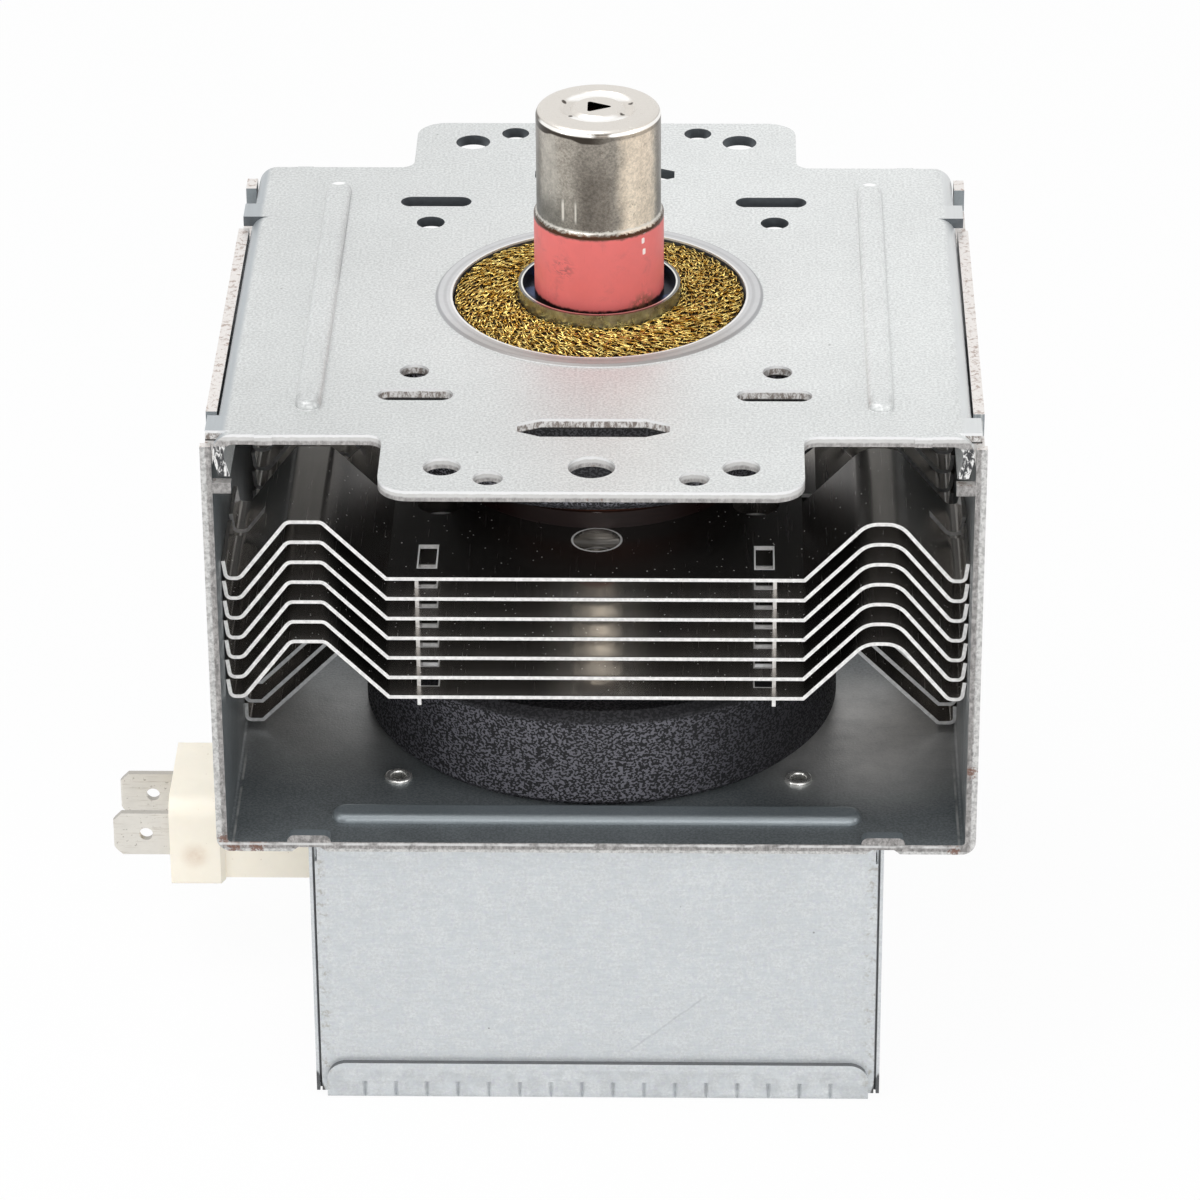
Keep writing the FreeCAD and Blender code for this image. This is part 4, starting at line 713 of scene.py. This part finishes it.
# Magnets
def ferrite_coat():
    """Ground ferrite: crooked black grains of about half a millimetre in a grey-violet skin,
    with painted shade under the fins and the plate and towards both sides.
    """
    coat = Coat("ferrite", Specular_IOR_Level=0.35)
    fine = coat.noise(6.0, 2.0, 0.6)
    grains = coat.noise(3.3, 1.2, 0.4, 0.25, coat.stretched(1.0, 1.0, 1.25))
    black = coat.rise(coat.plus(grains, coat.times(fine, 0.06)), 0.575, 0.525)
    skin = coat.shade(srgb(103, 102, 109), fine, 0.8, 1.2)
    looking_out = coat.rise(coat.upward, 0.5, 0.1)
    # Painted shade: the lower magnet's top under the lowest fin, and the upper magnet's lower
    # edge.
    for shadow, tone in (
        (coat.band(coat.z, -39.9, -39.3, -36.0, -35.0), 0.2),
        (coat.band(coat.z, -14.5, -13.4, -12.6, -11.8), 0.35),
    ):
        skin = coat.shade(skin, shadow, 1.0, tone)
    skin = coat.shade(skin, coat.noise(0.15, 2.0), 0.8, 1.2)
    # Painted shade: darker to the right and to the left, and on the upper magnet's sides under
    # the plate.
    for shadow, tone in (
        (coat.rise(coat.x, 4.0, 22.0), 0.3),
        (coat.rise(coat.x, -12.0, -26.0), 0.6),
        (coat.times(coat.rise(coat.z, -12.0, -9.0), looking_out), 0.25),
    ):
        skin = coat.shade(skin, shadow, 1.0, tone)
    colour = coat.cover(skin, black, srgb(20, 20, 23))
    roughness = coat.level(black, 0.42, 0.7)
    return coat.paint(colour, roughness, height=coat.without(black), depth=0.05)


# Antenna
def cap_coat():
    """Pressed cap: a satin wall with painted reflections in upright bands and painted shade at
    its sides, with specks, two bright lines and a brazed foot."""
    coat = Coat("cap_steel", Metallic=1.0)
    fine = coat.patches(0.3, 0.7, 3.6, 3.0, 0.75)
    specks = coat.times(coat.patches(0.58, 0.66, 2.6, 4.0, 0.75), coat.patches(0.4, 0.6, 0.5))
    colour = cap_painted_reflections(coat, fine)
    colour = coat.shade(colour, coat.patches(0.35, 0.65, 0.9, 5.0, 0.75), 0.86, 1.08)
    # Painted shade at both sides of the wall.
    side = coat.rise(coat.width, 6.1, 6.6)
    colour = coat.cover(colour, side, PAINTED_SHADE_STEEL, 0.75)
    colour = coat.cover(colour, specks, srgb(96, 84, 72), 0.5)
    for x, half in CAP_LINES:
        line = coat.times(
            coat.rise(coat.size_of(coat.plus(coat.x, -x)), half + 0.06, half),
            coat.band(coat.z, 11.4, 12.2, 13.6, 14.6),
            coat.rise(coat.y, 0.0, -1.0),
        )
        colour = coat.cover(colour, line, srgb(232, 226, 216), 0.8)
    colour = cap_top(coat, colour, fine)
    braze = coat.plus(coat.z, coat.times(coat.noise(2.2, 3.0, 0.7), 0.7))
    rim = coat.band(braze, CAP_FOOT, CAP_FOOT + 0.15, CAP_FOOT + 0.27, CAP_FOOT + 0.45)
    colour = coat.cover(colour, rim, srgb(226, 222, 214), 0.7)
    colour = coat.cover(colour, coat.rise(braze, CAP_FOOT, CAP_FOOT - 0.15), BRAZE_BROWN)
    roughness = coat.level(coat.noise(1.2, 5.0, 0.7), 0.2, 0.4)
    height = coat.plus(coat.noise(1.5, 4.0, 0.7), coat.times(specks, -0.5))
    return coat.paint(colour, roughness, height=height, depth=0.02)


def cap_painted_reflections(coat, fine):
    """The wall's upright bands of painted reflection, dark and bright, whose sides wander a
    little, and painted shade low on the left.
    """
    drift = coat.times(coat.plus(coat.noise(0.4, 4.0, 0.6), -0.5), 1.6)
    across = coat.plus(coat.x, drift)
    colour = coat.shade(srgb(168, 161, 151), fine, 0.74, 1.18)
    # Painted shade: a dark band down the middle, fainter towards the top.
    dim = coat.band(across, -3.4, -1.2, 1.0, 3.2)
    dim = coat.times(dim, coat.level(coat.rise(coat.z, 20.5, 16.0), 0.45, 1.0))
    colour = coat.cover(colour, dim, coat.shade(srgb(122, 115, 107), fine, 0.8, 1.2))
    # Painted highlight: a warm bright band on the right.
    warm = coat.band(across, 1.8, 3.2, 5.6, 6.5)
    colour = coat.cover(colour, warm, coat.shade(srgb(224, 209, 190), fine, 0.88, 1.08))
    # Painted highlight: a pale band on the left.
    pale = coat.band(across, -6.4, -5.9, -5.0, -3.6)
    colour = coat.cover(colour, pale, srgb(200, 195, 186), 0.6)
    # Painted shade low on the left.
    low = coat.times(coat.rise(coat.z, 15.5, 12.0), coat.rise(across, -1.5, -4.5))
    return coat.cover(colour, low, coat.shade(srgb(112, 109, 102), fine, 0.8, 1.2), 0.75)


def cap_top(coat, colour, fine):
    """The cap's top: pale and smooth with painted light, white arcs of painted reflection in
    the groove, painted shade about the vent, ticks about the vent, and an edge lined with
    painted shade and a painted highlight.
    """
    # Painted light: the top paler than the wall.
    pale = coat.shade(srgb(222, 217, 210), fine, 0.97, 1.02)
    flat = coat.rise(coat.z, CAP_EDGE, CAP_EDGE + 0.25)
    top = coat.cover(colour, flat, pale)
    # Painted shade along the rounded edge, wider at the front and on the left, fainter to the
    # right.
    left_spot = coat.near((-6.2, -2.0, 21.7), 3.2, 0.5)
    wide = coat.either(coat.near((-0.6, -6.5, 21.6), 2.4, 0.6), left_spot)
    start = coat.plus(coat.z, coat.times(wide, 0.34))
    stop = coat.plus(coat.z, coat.times(left_spot, -0.25))
    painted_edge_shade = coat.times(
        coat.rise(start, CAP_EDGE - 0.8, CAP_EDGE - 0.62),
        coat.rise(stop, CAP_EDGE - 0.22, CAP_EDGE - 0.36),
        coat.level(coat.rise(coat.x, 1.5, -1.0), 0.45, 1.0),
    )
    top = coat.cover(top, painted_edge_shade, srgb(66, 60, 54))
    # Painted highlight along the edge, dimmed to painted shade in two patches.
    lit_line = coat.band(
        coat.z, CAP_EDGE - 0.3, CAP_EDGE - 0.18, CAP_EDGE + 0.04, CAP_EDGE + 0.16
    )
    patch = coat.either(
        coat.near((0.5, -6.4, 22.2), 1.5, 0.6), coat.near((-6.2, -1.0, 22.2), 2.2, 0.6)
    )
    top = coat.cover(top, lit_line, coat.blend(patch, srgb(250, 248, 244), PAINTED_SHADE_STEEL))
    # Painted reflections: white arcs in the groove at the front and back.
    groove = coat.times(coat.band(coat.reach, 2.6, 2.9, 4.0, 4.3), flat)
    crescent = coat.times(groove, coat.rise(coat.depth, 1.7, 2.6))
    top = coat.cover(top, crescent, srgb(255, 254, 252))
    # Painted shade about the vent.
    slanting = coat.rise(coat.upward, 0.75, 0.5)
    painted_vent_shade = coat.times(slanting, coat.rise(coat.reach, 2.4, 2.2))
    top = coat.cover(top, painted_vent_shade, srgb(24, 22, 20))
    ticks = coat.either(*(coat.near((x, y, 22.7), 0.38, 0.4) for x, y in VENT_TICKS))
    return coat.cover(top, ticks, srgb(88, 82, 76))


def ceramic_coat():
    """Rose ceramic, lighter to the left with painted light, with a grey rubbed smudge, white
    dashes, a dirty foot and a brown top.
    """
    coat = Coat("pink_ceramic", Specular_IOR_Level=0.45, Subsurface_Weight=0.15)
    coat.shader.inputs["Subsurface Radius"].default_value = (0.002, 0.0008, 0.0006)
    mottled = coat.shade(srgb(229, 115, 111), coat.noise(0.8, 3.0), 0.94, 1.05)
    # Painted light: lighter towards the left.
    mottled = coat.shade(mottled, coat.rise(coat.x, -1.0, -6.0), 0.97, 1.06)
    flattened = coat.stretched(1.0, 1.0, 2.2)
    rubbed = coat.patches(0.46, 0.58, 0.9, 5.0, 0.75, 0.6, place=flattened)
    smudge = coat.times(coat.near(CERAMIC_SMUDGE, 2.0, 0.9), rubbed)
    mottled = coat.cover(mottled, smudge, srgb(132, 78, 78), 0.75)
    cloudy = coat.patches(0.54, 0.75, 0.33, 5.0, 0.7, 0.5)
    mottled = coat.cover(mottled, cloudy, srgb(160, 96, 96), 0.3)
    streaks = coat.patches(0.6, 0.75, 1.0, 4.0, 0.7, place=coat.stretched(2.5, 2.5, 0.35))
    mottled = coat.cover(mottled, streaks, srgb(170, 84, 88), 0.25)
    ragged = coat.level(coat.noise(3.0, 3.0), 0.6, 1.5)
    # White dashes on the ceramic.
    for place, size in CERAMIC_DASHES:
        white_dash = coat.rise(coat.times(coat.near(place, size, 0.9), ragged), 0.4, 0.55)
        beside = coat.size_of(coat.plus(coat.x, -place[0]))
        white_dash = coat.times(white_dash, coat.rise(beside, 0.2, 0.1))
        mottled = coat.cover(mottled, white_dash, srgb(250, 240, 236), 0.9)
    level = coat.plus(coat.z, coat.times(coat.noise(1.4, 3.0), 0.5))
    colour = coat.cover(mottled, coat.rise(level, 1.8, 1.5), srgb(30, 16, 14))
    flux = coat.times(
        coat.near((4.6, -4.8, 0.9), 2.6, 0.6), coat.patches(0.4, 0.55, 1.3, 4.0, 0.7)
    )
    colour = coat.cover(colour, flux, srgb(128, 84, 62), 0.8)
    fired = coat.rise(level, 10.0, 10.25)
    colour = coat.cover(colour, fired, srgb(96, 66, 52), 0.85)
    roughness = coat.level(coat.noise(1.0, 3.0), 0.34, 0.5)
    return coat.paint(colour, roughness, height=coat.noise(3.0, 3.0), depth=0.01)


def cup_coat():
    """Seal cup: olive-grey outside, a painted highlight along its thin lip, and a nearly black
    inside with blue patches.
    """
    coat = Coat("cup_steel", Metallic=1.0)
    stains = coat.patches(0.4, 0.65, 0.9, 4.0, 0.7)
    outer = coat.blend(stains, srgb(146, 148, 144), srgb(176, 180, 182))
    inner = coat.shade(srgb(30, 32, 42), coat.noise(0.6, 3.0), 0.4, 2.0)
    inner = coat.cover(inner, coat.patches(0.5, 0.62, 0.35, 2.0), srgb(70, 84, 122), 0.7)
    inside = coat.rise(coat.reach, CUP_LIP + 0.02, CUP_LIP - 0.05)
    colour = coat.cover(outer, inside, inner)
    level = coat.times(coat.rise(coat.upward, 0.3, 0.7), coat.rise(coat.z, 1.3, 1.5))
    colour = coat.cover(colour, level, srgb(122, 121, 116))
    # Painted highlight along the top of the lip.
    lip = coat.band(coat.reach, CUP_LIP - 0.1, CUP_LIP - 0.04, CUP_LIP + 0.06, CUP_LIP + 0.14)
    colour = coat.cover(colour, coat.times(level, lip), srgb(240, 239, 234))
    roughness = coat.level(coat.noise(1.2, 4.0, 0.6), 0.2, 0.4)
    return coat.paint(colour, roughness, height=coat.noise(2.5, 3.0), depth=0.01)


def brass_coat():
    """Drawn brass wire, tarnished in places and darkened by painted shade where it lies deep.
    """
    coat = Coat("brass_wire", Metallic=1.0)
    tone = coat.patches(0.35, 0.65, 1.4, 3.0, 0.6)
    colour = coat.blend(tone, srgb(168, 126, 44), srgb(255, 228, 142))
    tarnish = coat.patches(0.52, 0.7, 0.5, 4.0, 0.65)
    colour = coat.cover(colour, tarnish, srgb(110, 78, 30), 0.5)
    # Painted shade where the wire lies deep.
    colour = coat.shade(colour, coat.rise(coat.z, -0.3, 0.25), 0.2, 1.1)
    worn = coat.noise(3.0, 2.0)
    return coat.paint(colour, coat.level(worn, 0.12, 0.3), height=worn, depth=0.01)


def shadowed_brass_coat():
    # Dark brass of painted shade, for the bed under the wires.
    coat = Coat("brass_depth", Metallic=0.5, Roughness=0.7)
    tone = coat.noise(1.8, 4.0, 0.7)
    colour = coat.blend(tone, srgb(20, 13, 5), srgb(66, 46, 18))
    return coat.paint(colour, height=coat.noise(2.4, 4.0, 0.7), depth=0.3)


# Supply connector
def connector_coat():
    """Cream moulding with a few brown specks and one faint brown smudge."""
    coat = Coat("cream_plastic", Specular_IOR_Level=0.4, Subsurface_Weight=0.1)
    coat.shader.inputs["Subsurface Radius"].default_value = (0.001, 0.0008, 0.0005)
    tone = coat.shade(srgb(253, 244, 228), coat.noise(0.5, 4.0), 0.95, 1.02)
    specks = coat.patches(0.7, 0.75, 1.5, 3.0, 0.7)
    tone = coat.cover(tone, specks, srgb(176, 142, 108), 0.5)
    smudge = coat.times(coat.near(CONNECTOR_SMUDGE, 2.2, 0.9), coat.noise(1.0, 4.0, 0.7))
    tone = coat.cover(tone, smudge, srgb(196, 160, 128), 0.7)
    roughness = coat.level(coat.noise(2.0, 3.0), 0.38, 0.55)
    return coat.paint(tone, roughness, height=coat.noise(2.5, 3.0), depth=0.02)


def blade_coat():
    """Tinned blade with brownish streaks and a worn, darker rim."""
    coat = Coat("tinned_blade", Metallic=0.8)
    tone = coat.shade(srgb(226, 222, 214), coat.noise(0.7, 4.0), 0.88, 1.06)
    spots = coat.patches(0.62, 0.7, 1.8, 3.0, 0.7)
    tone = coat.cover(tone, spots, srgb(122, 110, 96), 0.6)
    drawn = coat.noise(1.0, 4.0, 0.7, place=coat.stretched(0.3, 5.0, 5.0))
    tone = coat.cover(tone, coat.rise(drawn, 0.55, 0.7), srgb(160, 146, 128), 0.4)
    rim = coat.rise(coat.facing_z, 0.4, 0.7)
    tone = coat.cover(tone, rim, srgb(110, 104, 98), 0.45)
    return coat.paint(tone, coat.level(drawn, 0.28, 0.5), height=drawn, depth=0.01)


# Pieces inside
def plain_metal(name, colour, low_rough, high_rough, metallic=1.0):
    """Turned or drawn metal of one tone, a little uneven."""
    coat = Coat(name, Metallic=metallic)
    tone = coat.shade(colour, coat.noise(0.6, 4.0, 0.6), 0.8, 1.12)
    turned = coat.noise(1.0, 3.0, 0.6, place=coat.stretched(0.4, 0.4, 4.0))
    roughness = coat.level(turned, low_rough, high_rough)
    return coat.paint(tone, roughness, height=turned, depth=0.01)


def choke_core_coat():
    coat = Coat("choke_ferrite", Specular_IOR_Level=0.4)
    tone = coat.shade(srgb(58, 56, 58), coat.noise(1.5, 3.0), 0.75, 1.25)
    roughness = coat.level(coat.noise(3.0), 0.5, 0.75)
    return coat.paint(tone, roughness, height=coat.noise(4.0), depth=0.02)


# Material, and the nodes that wear it
PLAIN_METALS = (
    (("eyelet_steel", srgb(236, 235, 231), 0.18, 0.34, 0.8), ("frame_eyelets",)),
    (("tinned_plate", srgb(190, 190, 186), 0.3, 0.5), ("capacitor_earth_plate",)),
    (("oxidised_copper", srgb(74, 46, 38), 0.35, 0.55), ("anode_shell",)),
    (("copper", srgb(214, 140, 104), 0.22, 0.42), (
        "vane_", "upper_inner_strap", "lower_inner_strap", "upper_outer_strap",
        "lower_outer_strap", "antenna_lead", "exhaust_tube", "front_choke", "rear_choke",
    )),
    (("pole_iron", srgb(62, 58, 56), 0.4, 0.6), ("upper_pole_piece", "lower_pole_piece")),
    (("cathode_metal", srgb(150, 150, 154), 0.3, 0.5), (
        "filament", "upper_end_hat", "lower_end_hat", "centre_lead", "side_lead",
    )),
)


def dress_everything():
    dress(plate_coat(), "mounting_plate")
    dress(frame_coat(), "yoke_frame")
    dress(box_coat(), "filter_box", "box_lid")
    dress(fin_coat(), "cooling_fin")
    dress(ferrite_coat(), "upper_magnet", "lower_magnet")
    dress(cap_coat(), "antenna_cap")
    dress(ceramic_coat(), "antenna_ceramic", "stem_ceramic")
    dress(cup_coat(), "upper_seal_cup", "lower_seal_cup")
    dress(connector_coat(), "connector_body")
    dress(blade_coat(), "front_blade", "rear_blade")
    for metal, names in PLAIN_METALS:
        dress(plain_metal(*metal), *names)
    dress(choke_core_coat(), "front_choke_core", "rear_choke_core")


# Gasket of knitted wire
def gasket_height(radius, inner, outer):
    """Top of the gasket over the plate in metres, highest at the cup and falling outwards."""
    share = (radius - inner) / (outer - inner)
    return (CREST_HEIGHT - CREST_FALL * share ** FALL_POWER) * MM


def strand(inner, outer, middle, chance):
    """Middle line of one closed wire that waves unevenly about its circle."""
    wave_length = WAVE_LENGTH * MM * chance.uniform(*LENGTH_SHARES)
    count = round(2 * math.pi * middle / wave_length)
    steps = count * STEPS_PER_WAVE
    reach = WAVE_REACH * MM
    stretch = [chance.uniform(*STRETCH_SHARES) for _ in range(count)]
    curl = [chance.uniform(*CURL_SHARES) for _ in range(count)]
    lift = [chance.uniform(*LIFT_SHARES) for _ in range(count)]
    start = chance.uniform(0, 2 * math.pi)
    line = []
    for step in range(steps):
        wave = step // STEPS_PER_WAVE
        angle = 2 * math.pi * step / steps + start
        phase = 2 * math.pi * step / STEPS_PER_WAVE
        loop = 0.5 * math.sin(2 * phase) * stretch[wave]
        lean = reach / middle * (curl[wave] * math.sin(phase) + loop)
        radius = middle + reach * stretch[wave] * math.sin(phase)
        radius += chance.uniform(-KINK, KINK) * MM
        radius = min(max(radius, inner + INNER_MARGIN * MM), outer - WIRE_RADIUS * MM)
        top = gasket_height(radius, inner, outer) - (WIRE_RADIUS + WAVE_RISE) * MM
        height = top + WAVE_RISE * MM * (0.6 * math.cos(phase + lift[wave]) + 0.4 * lift[wave])
        spin = angle + lean
        line.append(Vector((radius * math.cos(spin), radius * math.sin(spin), height)))
    return line


def tube_round(line, radius, sides, vertices, faces):
    """Add a closed tube along the line to the lists."""
    first = len(vertices)
    count = len(line)
    for step, here in enumerate(line):
        ahead = (line[(step + 1) % count] - line[step - 1]).normalized()
        side = ahead.cross(Vector((0, 0, 1))).normalized()
        up = side.cross(ahead)
        for corner in range(sides):
            turn = 2 * math.pi * corner / sides + math.pi / 2
            across = side * math.cos(turn) * radius
            vertices.append(here + across + up * math.sin(turn) * radius)
    for step in range(count):
        near = first + step * sides
        far = first + (step + 1) % count * sides
        for corner in range(sides):
            following = (corner + 1) % sides
            faces.append((near + corner, near + following, far + following, far + corner))


def gasket():
    """Wires and bed in place of the CAD gasket."""
    low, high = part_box("rf_gasket")
    outer = high.x
    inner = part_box("upper_seal_cup")[1].x
    chance = random.Random(GASKET_SEED)
    vertices = []
    faces = []
    for number in range(STRAND_COUNT):
        share = (number + 0.5) / STRAND_COUNT
        middle = inner + (outer - inner) * share
        line = strand(inner, outer, middle, chance)
        tube_round(line, WIRE_RADIUS * MM, WIRE_SIDES, vertices, faces)
    wires = new_object("gasket_wires", vertices, faces)
    wires.data.materials.append(brass_coat())
    bed = gasket_bed(inner, outer, low.z)
    for piece in (wires, bed):
        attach(piece, "root")
    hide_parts("rf_gasket")


def gasket_bed(inner, outer, bottom):
    """Ring of painted shade under the wires, so that no daylight shows between them."""
    section = []
    for ring in range(BED_RINGS):
        radius = inner + (outer - inner) * ring / (BED_RINGS - 1)
        section.append((radius, gasket_height(radius, inner, outer) - BED_DEPTH * MM))
    section += [(outer, bottom), (inner, bottom)]
    vertices = []
    for step in range(BED_STEPS):
        turn = 2 * math.pi * step / BED_STEPS
        for radius, height in section:
            vertices.append((radius * math.cos(turn), radius * math.sin(turn), height))
    size = len(section)
    faces = []
    for step in range(BED_STEPS):
        near = step * size
        far = (step + 1) % BED_STEPS * size
        for corner in range(size):
            following = (corner + 1) % size
            faces.append((near + corner, far + corner, far + following, near + following))
    bed = new_object("gasket_bed", vertices, faces)
    bed.data.materials.append(shadowed_brass_coat())
    return bed


# Studio
def mix_shaders(tree, factor, first, second, output):
    """Feed the output the first shader where the factor is 0 and the second where it is 1."""
    mixer = tree.nodes.new("ShaderNodeMixShader")
    sources = (factor, first.outputs[0], second.outputs[0])
    for socket, source in zip(mixer.inputs, sources):
        tree.links.new(source, socket)
    tree.links.new(mixer.outputs[0], tree.nodes[output].inputs[0])


def studio_floor():
    """Pale floor that glows towards the camera, so that it ends in plain white."""
    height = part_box("box_lid")[0].z
    turns = ((-1, -1), (1, -1), (1, 1), (-1, 1))
    corners = [(FLOOR_HALF * x, FLOOR_HALF * y, height) for x, y in turns]
    floor = new_object("studio_floor", corners, [(0, 1, 2, 3)], smooth=False)
    material = bpy.data.materials.new("pale_floor")
    material.use_nodes = True
    tree = material.node_tree
    shader = tree.nodes["Principled BSDF"]
    shader.inputs["Base Color"].default_value = grey(0.86)
    shader.inputs["Roughness"].default_value = 0.9
    glow = tree.nodes.new("ShaderNodeEmission")
    share = tree.nodes.new("ShaderNodeMath")
    share.operation = "MULTIPLY"
    share.inputs[1].default_value = FLOOR_GLOW
    tree.links.new(seen_directly(tree), share.inputs[0])
    mix_shaders(tree, share.outputs[0], shader, glow, "Material Output")
    floor.data.materials.append(material)


def seen_directly(tree):
    """1 for rays from the camera, off metal or through glass."""
    path = tree.nodes.new("ShaderNodeLightPath")
    total = path.outputs["Is Camera Ray"]
    for kind in ("Is Glossy Ray", "Is Transmission Ray"):
        node = tree.nodes.new("ShaderNodeMath")
        node.operation = "MAXIMUM"
        tree.links.new(total, node.inputs[0])
        tree.links.new(path.outputs[kind], node.inputs[1])
        total = node.outputs[0]
    return total


def studio_world():
    """Soft, slightly cool light all round that looks plain white to the camera."""
    world = bpy.data.worlds.new("studio")
    scene.world = world
    world.use_nodes = True
    tree = world.node_tree
    light = tree.nodes["Background"]
    light.inputs["Color"].default_value = (0.96, 0.98, 1.0, 1)
    light.inputs["Strength"].default_value = 0.5
    white = tree.nodes.new("ShaderNodeBackground")
    white.inputs["Color"].default_value = WHITE
    mix_shaders(tree, seen_directly(tree), light, white, "World Output")


def softbox(name, place, size, power):
    """Rectangular lamp that faces the part's middle."""
    data = bpy.data.lights.new(name, "AREA")
    data.shape = "RECTANGLE"
    data.size, data.size_y = size
    data.energy = power
    lamp = bpy.data.objects.new(name, data)
    lamp.location = place
    lamp.rotation_mode = "QUATERNION"
    towards = Vector(LAMP_TARGET) - Vector(place)
    lamp.rotation_quaternion = towards.to_track_quat("-Z", "Y")
    scene.collection.objects.link(lamp)


def photo_camera():
    """The photograph's camera, placed so that the part's origin lands on its own pixel."""
    data = bpy.data.cameras.new("photo_camera")
    data.lens = PHOTO_LENS
    data.sensor_width = SENSOR_WIDTH
    flat = math.cos(CAMERA_ELEVATION)
    forward = Vector((
        -math.sin(CAMERA_AZIMUTH) * flat,
        math.cos(CAMERA_AZIMUTH) * flat,
        -math.sin(CAMERA_ELEVATION),
    ))
    level = Vector((math.cos(CAMERA_AZIMUTH), math.sin(CAMERA_AZIMUTH), 0))
    upright = level.cross(forward)
    right = level * math.cos(CAMERA_ROLL) + upright * math.sin(CAMERA_ROLL)
    up = upright * math.cos(CAMERA_ROLL) - level * math.sin(CAMERA_ROLL)
    focal = PHOTO_LENS / SENSOR_WIDTH * PHOTO_SIDE
    across = (ORIGIN_COLUMN - PHOTO_SIDE / 2) / focal * ORIGIN_DEPTH
    above = (PHOTO_SIDE / 2 - ORIGIN_ROW) / focal * ORIGIN_DEPTH
    place = -(right * across + up * above + forward * ORIGIN_DEPTH)
    camera = bpy.data.objects.new("photo_camera", data)
    axes = Matrix((right, up, -forward)).transposed().to_4x4()
    camera.matrix_world = Matrix.Translation(place) @ axes
    scene.collection.objects.link(camera)
    scene.camera = camera


dress_everything()
gasket()
studio_floor()
studio_world()
for lamp in LAMPS:
    softbox(*lamp)
photo_camera()
scene.view_settings.view_transform = "Standard"
